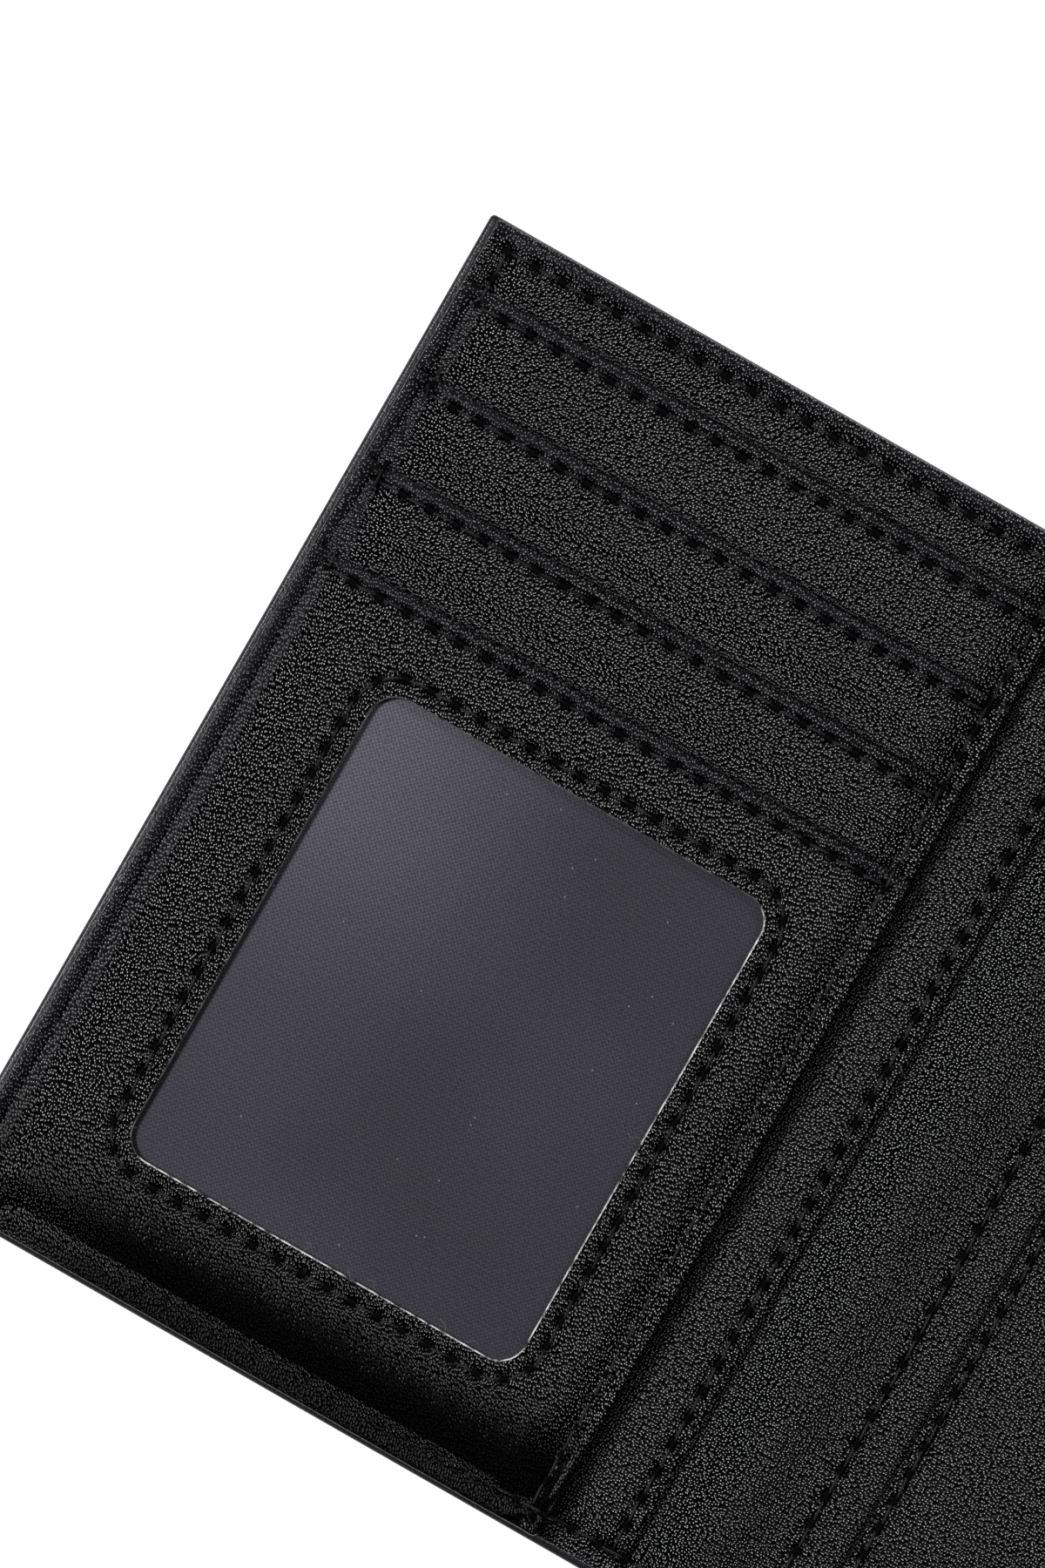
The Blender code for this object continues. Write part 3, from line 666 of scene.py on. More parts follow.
def stitchTree():
    tree = bpy.data.node_groups.new("lockstitch", "GeometryNodeTree")
    face = tree.interface
    face.new_socket(name="Geometry", in_out="INPUT", socket_type="NodeSocketGeometry")
    for label, value in stitchValues.items():
        face.new_socket(name=label, in_out="INPUT", socket_type="NodeSocketFloat").default_value = value
    for label, value in (("Steps per stitch", 10), ("Seed", 3)):
        face.new_socket(name=label, in_out="INPUT", socket_type="NodeSocketInt").default_value = value
    face.new_socket(name="Up", in_out="INPUT", socket_type="NodeSocketVector").default_value = (0, 0, 1)
    for label in ("Thread", "Hole"):
        face.new_socket(name=label, in_out="INPUT", socket_type="NodeSocketMaterial")
    face.new_socket(name="Geometry", in_out="OUTPUT", socket_type="NodeSocketGeometry")
    add, link = tree.nodes.new, tree.links.new
    source = add("NodeGroupInput").outputs
    result = add("NodeGroupOutput")

    def number(operation, first, second=None):
        return mathNode(tree, operation, first, second)

    def scaled(vector, factor):
        return vectorNode(tree, "SCALE", vector, factor)

    index = add("GeometryNodeInputIndex").outputs[0]
    turn = number("DIVIDE", index, source["Steps per stitch"])
    phase = number("FRACT", number("ADD", turn, 0.0001))
    full = number("POWER", number("SINE", number("MULTIPLY", phase, math.pi)), 0.6)
    height = number("SUBTRACT", number("MULTIPLY", full, number("ADD", source["Arch"], source["Dip"])),
                    source["Dip"])
    chance = add("FunctionNodeRandomValue")
    chance.data_type = "FLOAT"
    low, high = [s for s in chance.inputs if s.type == "VALUE" and s.name in ("Min", "Max")]
    link(number("MULTIPLY", source["Looseness"], -1.0), low)
    link(source["Looseness"], high)
    link(number("FLOOR", turn), chance.inputs["ID"])
    link(source["Seed"], chance.inputs["Seed"])
    loose = [s for s in chance.outputs if s.type == "VALUE"][0]
    aslant = number("MULTIPLY", number("MULTIPLY", number("SUBTRACT", phase, 0.5), 2.0), source["Slant"])
    aside = number("MULTIPLY", number("ADD", aslant, loose), full)
    tangent = add("GeometryNodeInputTangent").outputs[0]
    across = vectorNode(tree, "NORMALIZE", vectorNode(tree, "CROSS_PRODUCT", source["Up"], tangent))
    shift = vectorNode(tree, "ADD", scaled(source["Up"], height), scaled(across, aside))
    laid = add("GeometryNodeSetPosition")
    link(source["Geometry"], laid.inputs["Geometry"])
    link(shift, laid.inputs["Offset"])
    along = add("GeometryNodeStoreNamedAttribute")
    along.inputs["Name"].default_value = "along"
    link(laid.outputs[0], along.inputs["Geometry"])
    link(add("GeometryNodeSplineParameter").outputs["Length"], along.inputs["Value"])
    ring = add("GeometryNodeCurvePrimitiveCircle")
    ring.inputs["Resolution"].default_value = 7
    link(number("MULTIPLY", source["Thread width"], 0.5), ring.inputs["Radius"])
    around = add("GeometryNodeStoreNamedAttribute")
    around.inputs["Name"].default_value = "around"
    link(ring.outputs["Curve"], around.inputs["Geometry"])
    link(add("GeometryNodeSplineParameter").outputs["Factor"], around.inputs["Value"])
    thick = add("GeometryNodeSetCurveRadius")
    slim = number("MAXIMUM", full, 0.16)
    link(along.outputs[0], thick.inputs["Curve"])
    link(slim, thick.inputs["Radius"])
    strand = add("GeometryNodeCurveToMesh")
    link(thick.outputs[0], strand.inputs["Curve"])
    link(around.outputs[0], strand.inputs["Profile Curve"])
    strand.inputs["Fill Caps"].default_value = True
    if "Scale" in strand.inputs:
        link(slim, strand.inputs["Scale"])

    # painted shade: a near-black ball is sunk at each hole in place of the shade inside it
    caught = add("GeometryNodeCaptureAttribute")
    caught.capture_items.new("VECTOR", "Tangent")
    link(source["Geometry"], caught.inputs["Geometry"])
    link(tangent, caught.inputs["Tangent"])
    line = add("GeometryNodeCurveToMesh")
    link(caught.outputs["Geometry"], line.inputs["Curve"])
    pierced = add("GeometryNodeMeshToPoints")
    link(line.outputs[0], pierced.inputs["Mesh"])
    link(number("LESS_THAN", phase, 0.01), pierced.inputs["Selection"])
    lowered = add("GeometryNodeSetPosition")
    link(pierced.outputs[0], lowered.inputs["Geometry"])
    link(scaled(source["Up"], number("MULTIPLY", source["Hole sink"], -1.0)), lowered.inputs["Offset"])
    facing = add("FunctionNodeAlignRotationToVector")
    facing.axis = "X"
    link(caught.outputs["Tangent"], facing.inputs["Vector"])
    ball = add("GeometryNodeMeshIcoSphere")
    ball.inputs["Radius"].default_value = 0.5
    ball.inputs["Subdivisions"].default_value = 2
    size = add("ShaderNodeCombineXYZ")
    for axis, label in (("X", "Hole length"), ("Y", "Hole width"), ("Z", "Hole depth")):
        link(source[label], size.inputs[axis])
    holes = add("GeometryNodeInstanceOnPoints")
    link(lowered.outputs[0], holes.inputs["Points"])
    link(ball.outputs[0], holes.inputs["Instance"])
    link(facing.outputs[0], holes.inputs["Rotation"])
    link(size.outputs[0], holes.inputs["Scale"])
    joined = add("GeometryNodeJoinGeometry")
    for shape, finish in ((strand, "Thread"), (holes, "Hole")):
        real = add("GeometryNodeRealizeInstances")
        link(shape.outputs[0], real.inputs[0])
        painted = add("GeometryNodeSetMaterial")
        link(real.outputs[0], painted.inputs["Geometry"])
        link(source[finish], painted.inputs["Material"])
        link(painted.outputs[0], joined.inputs[0])
    link(joined.outputs[0], result.inputs[0])
    return tree


lockstitch = stitchTree()


def settingsOf(tree):
    return {item.name: item.identifier for item in tree.interface.items_tree
            if item.item_type == "SOCKET" and item.in_out == "INPUT"}


def stitchPiece(name, path, closed=False, up=(0, 0, 1), seed=3):
    # the thread and the holes of a seam as one plain mesh
    curve = bpy.data.curves.new(name + "Path", "CURVE")
    curve.dimensions = "3D"
    curve.materials.append(seamThread)
    places = path[:-1] if closed else path
    spline = curve.splines.new("POLY")
    spline.points.add(len(places) - 1)
    spline.points.foreach_set("co", np.concatenate([places, np.ones((len(places), 1))], axis=1).ravel())
    spline.use_cyclic_u = closed
    guide = bpy.data.objects.new(name + "Guide", curve)
    bpy.context.scene.collection.objects.link(guide)
    modifier = guide.modifiers.new("lockstitch", "NODES")
    modifier.node_group = lockstitch
    keys = settingsOf(lockstitch)
    chosen = {"Steps per stitch": seamValues["perStitch"], "Seed": seed, "Up": up,
              "Thread": seamThread, "Hole": threadHole}
    for label, value in {**stitchValues, **chosen}.items():
        modifier[keys[label]] = value
    guide.update_tag()
    graph = bpy.context.evaluated_depsgraph_get()
    mesh = bpy.data.meshes.new_from_object(guide.evaluated_get(graph), preserve_all_data_layers=True,
                                           depsgraph=graph)
    mesh.name = name
    mesh.polygons.foreach_set("use_smooth", [True] * len(mesh.polygons))
    if mesh.materials[0] is None:
        kinds = np.empty(len(mesh.polygons), np.int32)
        mesh.polygons.foreach_get("material_index", kinds)
        mesh.materials.pop(index=0)
        mesh.polygons.foreach_set("material_index", kinds - 1)
    piece = bpy.data.objects.new(name, mesh)
    bpy.context.scene.collection.objects.link(piece)
    bpy.data.objects.remove(guide)
    bpy.data.curves.remove(curve)
    return piece


# Leather panels. Tops and undersides both sink with the seams, so layers never pass through each other.

panelValues = {"rim": 0.3 * mm, "roll": 0.34 * mm, "rollPlace": 0.75 * mm, "rollWidth": 0.6 * mm,
               "step": 0.3 * mm, "hidden": 3 * mm, "drawn": 0.3, "drawnReach": 3 * mm}


def roll(distance):
    # a turned edge swells between its rim and its seam
    return panelValues["roll"] * bell(distance - panelValues["rollPlace"], panelValues["rollWidth"])


def toHinge(span):
    # an X span run on to the hinges beside its ends
    return [min([end] + [x for x in hingeX.values() if abs(x - end) < 0.4 * mm], key=lambda x: x == end)
            for end in span]


def topOf(height, turned=(), names=()):
    def top(x, y, holes=True):
        level = height(x, y) if callable(height) else height + 0 * x
        for axis, place, direction in turned:
            level = level + roll(((x, y)[axis] - place) * direction)
        return settle(x, y, level) - marks(x, y, names, holes)
    return top


def bottomOf(height):
    return lambda x, y: settle(x, y, height(x, y) if callable(height) else height + 0 * x)


def drawnBy(turned, axis):
    values = panelValues
    return [(place, direction, values["drawn"], values["drawnReach"])
            for side, place, direction in turned if side == axis]


def wearAndSheenOf(turned):
    # the turned edges are rubbed, more in some stretches than in others, and carry a painted sheen that is
    # strongest towards the left end, where the light falls
    def mask(x, y):
        rubbed = np.zeros(x.shape)
        for axis, place, direction in turned:
            if axis == 0 and abs(place) < abs(leftSeamX) - 5 * mm:
                continue
            inward = ((x, y)[axis] - place) * direction
            rubbed = np.maximum(rubbed, 1 - ease(inward, 0.9 * mm, 1.7 * mm))
        # painted sheen: lighter towards the left end, where the light falls
        sheenNearLeftEnd = bell(x - insideX[0], 16 * mm)
        return rubbed * np.clip(0.42 + 0.3 * waves(x, y, 9) + 0.4 * sheenNearLeftEnd, 0, 1)
    return mask


def shaded(x, y, places):
    # painted shadow: a dark band beside each edge that lies on this piece
    dark = np.zeros(x.shape)
    for axis, place in places:
        dark = np.maximum(dark, 0.9 * bell((x, y)[axis] - place, 0.55 * mm))
    return dark


def layerPiece(node, body, turned=(), names=(), joined=False, fineX=(), fineY=(), level=None, thickness=None,
               material=None, step=None, capped=True, spanX=None, shade=()):
    # one flat layer of leather in the place of its CAD solid
    boxX, boxY, boxZ = spans(node)
    spanX = spanX or (toHinge(boxX) if joined else boxX)
    freeX = [not (joined and any(abs(x - end) < 1e-6 for x in hingeX.values())) for end in spanX]
    thickness = thickness or boxZ[1] - boxZ[0]
    level = level or boxZ[1]
    base = (lambda x, y: level(x, y) - thickness) if callable(level) else level - thickness
    top = topOf(level, turned, names)
    hidden, fine = panelValues["hidden"], step or panelValues["step"]
    placesX = axisPlaces(spanX, freeX, panelValues["rim"], hidden, fineX, fine)
    placesY = axisPlaces(boxY, (True, True), panelValues["rim"], hidden, fineY, fine)
    # rubbing with a painted sheen on the turned edges; painted shade at the seam holes and painted shadow
    # beside each edge lying on this piece
    masks = {"wear": wearAndSheenOf(turned),
             "pressed": lambda x, y: np.maximum(pressed(x, y, names), shaded(x, y, shade))}
    piece = sheetPiece(node + "_leather", placesX, placesY, panelValues["rim"], top, bottomOf(base),
                       material or innerLeather, drawnBy(turned, 0), drawnBy(turned, 1), capped, masks)
    laidOn(body, spanX, boxY, lambda x, y: top(x, y, False))
    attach(piece, body)
    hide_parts(node)
    return piece


def liningPiece(node, body, ripple=0.04 * mm):
    boxX, boxY, boxZ = spans(node)
    placesX = axisPlaces(boxX, (False, False), 0, 4 * mm)
    placesY = axisPlaces(boxY, (False, False), 0, 4 * mm)

    def shifted(z):
        return lambda x, y: settle(x, y, z + 0 * x) + ripple * waves(x, y, 5)

    piece = sheetPiece(node + "_cloth", placesX, placesY, 0, shifted(boxZ[1]), shifted(boxZ[0]), liningFabric)
    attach(piece, body)
    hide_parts(node)
    return piece


# Seams of the whole wallet.

flapSides = {"left": (-1, leftFlapX, leftSeamX + 0.15 * mm, leftStackSeamX, leftSlipSeamX, 3),
             "right": (1, rightFlapX, rightSeamX - 0.15 * mm, rightStackSeamX, rightSlipSeamX, 4)}
cardSlots = {name: [f"{name}_card_slot_{number + 1}" for number in range(flapSides[name][5])]
             for name in flapSides}
windowX = [spans("id_window_thread")[0][0] + 1.95 * mm, spans("id_window_thread")[0][1] - 1.95 * mm]
windowY = [spans("id_window_thread")[1][0] + 1.95 * mm, spans("id_window_thread")[1][1] - 1.95 * mm]
windowSeamOut, windowCorner = 1.8 * mm, 2.6 * mm

for name, (side, hinge, seamX, stackX, slipX, count) in flapSides.items():
    addSeam(name + "Top", [(seamX, topSeamY), (hinge, topSeamY)])
    addSeam(name + "Side", [(seamX, topSeamY), (seamX, bottomSeamY)])
    addSeam(name + "Bottom", [(seamX, bottomSeamY), (hinge, bottomSeamY)])
    addSeam(name + "Stack", [(stackX, topSeamY), (stackX, bottomSeamY)])
    addSeam(name + "Slip", [(slipX, topSeamY), (slipX, bottomSeamY)])
    for slot in cardSlots[name]:
        threadSpan = spans(slot + "_thread")
        addSeam(slot, [(seamX, middle(threadSpan[1])), (stackX, middle(threadSpan[1]))])
idEdgeY = middle(spans("id_pocket_edge_thread")[1])
addSeam("idEdge", [(leftSeamX + 0.15 * mm, idEdgeY), (leftStackSeamX, idEdgeY)])
seamLoop = roundedLoop([windowX[0] - windowSeamOut, windowX[1] + windowSeamOut],
                       [windowY[0] - windowSeamOut, windowY[1] + windowSeamOut],
                       windowCorner + windowSeamOut, 60, 16)
addSeam("window", [tuple(place) for place in seamLoop], closed=True, stitch=seamValues["windowStitch"])
for label, y in (("Top", topSeamY), ("Bottom", bottomSeamY)):
    addSeam("centre" + label, [(leftCentreX, y), (rightCentreX, y)])
    for name, ends in (("left", (leftFlapX, leftCentreX)), ("right", (rightCentreX, rightFlapX))):
        half = middle(ends)
        addSeam(f"{name}Spine{label}1", [(ends[0], y), (half, y)])
        addSeam(f"{name}Spine{label}2", [(half, y), (ends[1], y)])
for number, x in enumerate(centreSeamX, 1):
    addSeam(f"centrePocket{number}", [(x, topSeamY), (x, bottomSeamY)])
print("seams laid out:", len(seams))


# The two flaps: backing and card slots, on the slip pocket and the inner panel.

slotValues = {"flat": 5.0 * mm, "slope": 2.8 * mm}


def slotLevel(edge, high, low, thickness):
    # a strip lies high over the strip behind it, then comes down to its own place
    def level(x, y):
        down = ease(edge - y, slotValues["flat"], slotValues["flat"] + slotValues["slope"])
        return high + (low - high) * down
    return level


def flapLayers(name):
    side, hinge, seamX, stackX, slipX, count = flapSides[name]
    body = name + "_flap"
    outer = insideX[0] if side < 0 else insideX[1]
    ends = [name + "Top", name + "Side", name + "Bottom"]
    low, high = insideY
    stackInner = spans(name + "_stack_backing")[0][side < 0]
    layerPiece(name + "_inner_panel", body, joined=True)
    showing = [sorted((stackInner + side * 0.4 * mm, hinge))]
    layerPiece(name + "_slip_pocket", body, [(0, hinge, side)],
               [name + "Top", name + "Bottom", name + "Slip"], fineX=showing, fineY=[insideY],
               shade=[(0, stackInner)])
    topY = spans(cardSlots[name][0])[1][1]
    layerPiece(name + "_stack_backing", body, [(0, stackInner, side), (1, high, -1)], ends + [name + "Stack"],
               fineX=[sorted((outer, stackInner))], fineY=[(topY - 0.5 * mm, high)], shade=[(1, topY)])
    for number, slot in enumerate(cardSlots[name]):
        boxX, boxY, boxZ = spans(slot)
        thickness = 0.6 * mm
        last = number == count - 1
        nextEdge = spans("id_window_pocket")[1][1] if last and side < 0 else None
        if not last:
            nextEdge = spans(cardSlots[name][number + 1])[1][1]
        foot = boxZ[0] + thickness if number else boxZ[1]
        level = slotLevel(boxY[1], boxZ[1], foot, thickness)
        visible = (nextEdge - 0.4 * mm if nextEdge else low, boxY[1])
        names = [slot, name + "Side", name + "Stack"] + ([] if nextEdge else [name + "Bottom"])
        layerPiece(slot, body, [(1, boxY[1], -1), (0, outer, -side), (0, stackInner, side)], names,
                   level=level, thickness=thickness, fineX=[sorted((outer, stackInner))], fineY=[visible],
                   shade=[(1, nextEdge)] if nextEdge else ())
        if slot + "_lining" in frame["nodes"]:
            liningPiece(slot + "_lining", body)


for name in flapSides:
    flapLayers(name)
print("flaps layered")


# The front pocket with its window: rings of leather from the cut opening out to the turned edges.

windowValues = {"sides": 200, "corner": 12, "rings": 40, "bevel": 0.13 * mm, "outerCorner": 0.35 * mm,
                "lip": 0.05 * mm, "grainLean": -18, "grainDraw": 0.75, "grainClose": 1.2}


def windowPocket():
    node, body = "id_window_pocket", "left_flap"
    values = windowValues
    boxX, boxY, boxZ = spans(node)
    rim = panelValues["rim"]

    def loop(spanX, spanY, inset, radius):
        return roundedLoop([spanX[0] + inset, spanX[1] - inset], [spanY[0] + inset, spanY[1] - inset],
                           max(radius - inset, 0.04 * mm), values["sides"], values["corner"])

    outline = loop(boxX, boxY, rim, values["outerCorner"] + rim)
    opening = loop(windowX, windowY, -values["bevel"], windowCorner)
    rings, drops = [], []
    for angle in (90, 62, 38, 18):
        lean = math.sin(math.radians(angle))
        rings.append(loop(boxX, boxY, rim * (1 - lean), values["outerCorner"] + rim))
        drops.append(rim * (1 - math.cos(math.radians(angle))))
    for step in range(values["rings"] + 1):
        share = step / values["rings"]
        rings.append(outline * (1 - share) + opening * share)
        drops.append(0)
    rings.append(loop(windowX, windowY, 0, windowCorner))
    drops.append(values["bevel"] * 0.9)
    turned = [(1, boxY[1], -1), (0, boxX[0], 1), (0, boxX[1], -1)]
    names = ["idEdge", "window", "leftSide", "leftStack", "leftBottom"]
    top = topOf(boxZ[1], turned, names)
    laidOn(body, boxX, boxY, lambda x, y: top(x, y, False))
    places = np.array(rings)
    x, y = places[:, :, 0], places[:, :, 1]
    cut = np.minimum(np.minimum(x - windowX[0], windowX[1] - x), np.minimum(y - windowY[0], windowY[1] - y))
    lip = values["lip"] * bell(cut + 0.5 * mm, 0.5 * mm)
    height = top(x, y) - np.array(drops)[:, None] + lip
    upper = np.stack([x, y, height], axis=2).reshape(-1, 3)
    around = len(outline)
    low = bottomOf(boxZ[0])
    lower = [np.stack([x[ring], y[ring], low(x[ring], y[ring])], axis=1) for ring in (0, -1)]
    index = np.arange(len(upper)).reshape(len(rings), around)
    after = np.roll(index, -1, axis=1)
    quads = np.stack([index[:-1], after[:-1], after[1:], index[1:]], axis=2).reshape(-1, 4).tolist()
    belowOuter = np.arange(around) + len(upper)
    belowInner = belowOuter + around

    def strip(first, second):
        return np.stack([first, np.roll(first, -1), np.roll(second, -1), second], axis=1).tolist()

    quads += strip(belowOuter, index[0]) + strip(index[-1], belowInner) + strip(belowInner, belowOuter)
    points = np.concatenate([upper] + lower)
    lean, draw = math.radians(windowValues["grainLean"]), windowValues["grainDraw"]
    across = (points[:, 0] * math.cos(lean) - points[:, 1] * math.sin(lean)) * windowValues["grainClose"]
    upward = (points[:, 0] * math.sin(lean) + points[:, 1] * math.cos(lean)) * draw
    flatX, flatY = points[:, 0], points[:, 1]
    # painted shade: the foot of the pocket, which slopes away from the light, is painted darker and its grain
    # smoother, most of all towards the hinge
    footShade = 0.97 * (1 - ease(flatY - boxY[0], 6 * mm, 14 * mm))
    footShade = footShade * (0.55 + 0.45 * ease(flatX - boxX[0], 2 * mm, 18 * mm))
    # painted light: the cut is paler along the bottom and right sides of the window, which face the light
    raw = np.maximum(ease(windowY[0] + 3 * mm - flatY, 0, 3 * mm),
                     ease(flatX - windowX[1] + 1.5 * mm, 0, 1.5 * mm))
    masks = {"wear": wearAndSheenOf(turned)(flatX, flatY), "pressed": np.maximum(footShade, pressed(flatX, flatY, names)),
             "raw": 0.12 + 0.88 * raw}
    piece = meshPiece(node + "_leather", points.tolist(), quads, np.stack([across, upward], axis=1),
                      innerLeather, masks=masks)
    piece.data.materials.append(cutEdge)
    kinds = np.zeros(len(quads), np.int32)
    bevelFaces = (len(rings) - 2) * around
    kinds[bevelFaces:bevelFaces + around] = 1
    piece.data.polygons.foreach_set("material_index", kinds)
    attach(piece, body)
    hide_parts(node)


def windowPane():
    node = "id_window_film"
    boxX, boxY, boxZ = spans(node)
    places = [axisPlaces(span, (False, False), 0, 1.2 * mm) for span in (boxX, boxY)]

    def shifted(z):
        return lambda x, y: settle(x, y, z + 0 * x)

    def glarePatch(x, y):
        # painted highlight: a pale patch at the upper outer corner, where the film catches the light
        acrossShare = (x - windowX[0]) / (windowX[1] - windowX[0])
        downShare = (windowY[1] - y) / (windowY[1] - windowY[0])
        patch = bell(np.hypot(acrossShare + 0.02, 0.8 * downShare), 0.42)
        return np.clip(0.8 * patch + 0.05 * waves(x, y, 6), 0, 1)

    piece = sheetPiece(node + "_pane", *places, 0, shifted(boxZ[1]), shifted(boxZ[0]), windowFilm,
                       masks={"haze": glarePatch})
    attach(piece, "left_flap")
    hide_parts(node)


# A few loose fibres stand out from the raw cut of the window.

fluffValues = {"count": 11, "steps": 16, "step": 0.11 * mm, "curl": 0.4, "radius": 0.013 * mm,
               "above": 0.04 * mm}


def windowFluff():
    values = fluffValues
    chance = np.random.default_rng(8)
    points, faces = [], []
    for number in range(values["count"]):
        share = chance.random()
        if number % 3:
            place = np.array([windowX[0] + (0.3 + 0.65 * share) * (windowX[1] - windowX[0]), windowY[0]])
        else:
            place = np.array([windowX[1], windowY[0] + (0.1 + 0.5 * share) * (windowY[1] - windowY[0])])
        height = highestAt("left_flap", place[:1] + 0.3 * mm, place[1:] - 0.3 * mm)[0] + values["above"]
        heading = chance.random() * 2 * math.pi
        first = len(points)
        for step in range(values["steps"]):
            heading += chance.normal(0, values["curl"])
            side = np.array([-math.sin(heading), math.cos(heading), 0])
            rise = height + 0.1 * mm * math.sin(math.pi * step / values["steps"])
            for turn in range(4):
                angle = math.pi / 2 * turn
                around = side * math.cos(angle) + np.array([0, 0, math.sin(angle)])
                points.append(tuple(np.array([*place, rise]) + around * values["radius"]))
            place = place + values["step"] * np.array([math.cos(heading), math.sin(heading)])
        for step in range(values["steps"] - 1):
            low = first + step * 4
            faces += [[low + (turn + 1) % 4, low + 4 + (turn + 1) % 4, low + 4 + turn, low + turn]
                      for turn in range(4)]
        faces.append([first + turn for turn in (3, 2, 1, 0)])
        faces.append([len(points) - 4 + turn for turn in range(4)])
    grain = np.array(points)[:, :2]
    piece = meshPiece("window_fluff", points, faces, grain, looseFibre)
    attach(piece, "left_flap")


windowPocket()
windowPane()
windowFluff()
print("window pocket made")


# The centre: inner panel and two slip pockets, one behind the other.

def centreLayers():
    layerPiece("centre_inner_panel", "centre", joined=True)
    right = spans("centre_slip_pocket_1")[0][1]
    edges = [spans(f"centre_slip_pocket_{number}")[0][0] for number in (1, 2)]
    ends = ["centreTop", "centreBottom"]
    layerPiece("centre_slip_pocket_1", "centre", [(0, edges[0], 1)], ends + ["centrePocket1"],
               fineX=[(edges[0], edges[1] + 0.4 * mm)], fineY=[insideY], shade=[(0, edges[1])])
    turned = [(0, edges[1], 1), (0, right, -1), (1, insideY[1], -1)]
    layerPiece("centre_slip_pocket_2", "centre", turned, ends + ["centrePocket2"], fineX=[(edges[1], right)],
               fineY=[insideY], step=0.42 * mm)
    liningPiece("centre_inner_lining", "centre")


centreLayers()
for name in flapSides:
    liningPiece(name + "_inner_lining", name + "_flap")
print("centre layered")


# The shell: one skin whose edges turn over a hem, in five sections that meet at the hinges.

shellValues = {"rim": 0.45 * mm, "step": 1.1 * mm, "fine": 0.3 * mm, "hem": 7 * mm, "seamDip": 0.2 * mm,
               "seamWidth": 0.55 * mm, "soft": 0.03 * mm}
shellBase = spans("centre_shell")[2][0]
shellThin = spans("centre_shell_lining")[2][0] - 0.15 * mm


def shellEdge(x, y):
    return np.minimum(np.minimum(x - shellX[0], shellX[1] - x), np.minimum(y - shellY[0], shellY[1] - y))


def shellUpper(x, y):
    hem = 1 - ease(shellEdge(x, y), shellValues["hem"] - 0.5 * mm, shellValues["hem"])
    return shellThin + (shellTop - shellThin) * hem


def shellLower(x, y):
    line = np.minimum(np.abs(x - leftSeamX - 0.15 * mm), np.abs(x - rightSeamX + 0.15 * mm))
    line = np.minimum(line, np.minimum(np.abs(y - topSeamY), np.abs(y - bottomSeamY)))
    groove = shellValues["seamDip"] * bell(line, shellValues["seamWidth"])
    return shellBase + groove + shellValues["soft"] * (1.1 + waves(x, y, 4))


def shellPiece(name, node, span):
    free = [abs(end - edge) < 1e-6 for end, edge in zip(span, shellX)]
    seamZones = [(topSeamY - 1.5 * mm, shellY[1]), (shellY[0], bottomSeamY + 1.5 * mm)]
    sideZones = [(shellX[0], leftSeamX + 1.5 * mm), (rightSeamX - 1.5 * mm, shellX[1])]
    step = 0.5 * mm if node in bendingNodes else shellValues["step"]
    placesX = axisPlaces(span, free, shellValues["rim"], step, sideZones, shellValues["fine"])
    placesY = axisPlaces(shellY, (True, True), shellValues["rim"], shellValues["step"], seamZones,
                         shellValues["fine"])
    piece = sheetPiece(name, placesX, placesY, shellValues["rim"], shellUpper, shellLower, shellLeather)
    return piece


bendingNodes = [node for node in frame["nodes"] if "_spine_" in node]
spineSpans = {"left_spine": (leftFlapX, leftCentreX), "right_spine": (rightCentreX, rightFlapX)}
for node, body, span in (("left_shell", "left_flap", (shellX[0], leftFlapX)),
                         ("centre_shell", "centre", (leftCentreX, rightCentreX)),
                         ("right_shell", "right_flap", (rightFlapX, shellX[1]))):
    piece = shellPiece(node + "_leather", node, span)
    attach(piece, body)
    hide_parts(node)
    liningPiece(node + "_lining", body)
print("shell made")


# The spines: each skin is halved, and each half runs from the middle of its spine to a hinge.

spineValues = {"bulge": 0.85 * mm, "shellBend": 4 * mm, "innerBend": 5.8 * mm}


def halves(spine):
    low, high = spineSpans[spine]
    centre = (low + high) / 2
    flap = spine.split("_")[0] + "_flap"
    pairs = [("centre", spine), (spine, flap)]
    if spine == "left_spine":
        pairs = [(flap, spine), (spine, "centre")]
    return [((low, centre), pairs[0], low), ((centre, high), pairs[1], high)]


def bend(piece, bodies, hinge, span, reach):
    # bakes the piece's placement into its mesh; the ends of the turn, from the hinge to a place within the
    # spine, are worked out but not used
    inward = 1 if abs(hinge - span[0]) < 1e-6 else -1
    far = (hinge + inward * reach, 0, shellBase)
    near = (hinge, 0, shellBase)
    start, end = (near, far) if inward > 0 else (far, near)
    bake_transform(piece)
    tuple(start)
    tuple(end)


def spineBulge(spine):
    low, high = spineSpans[spine]
    crest = spineValues["bulge"] * (1.0 if spine == "left_spine" else 0.7)
    return lambda x: crest * np.sin(math.pi * np.clip((x - low) / (high - low), 0, 1)) ** 2


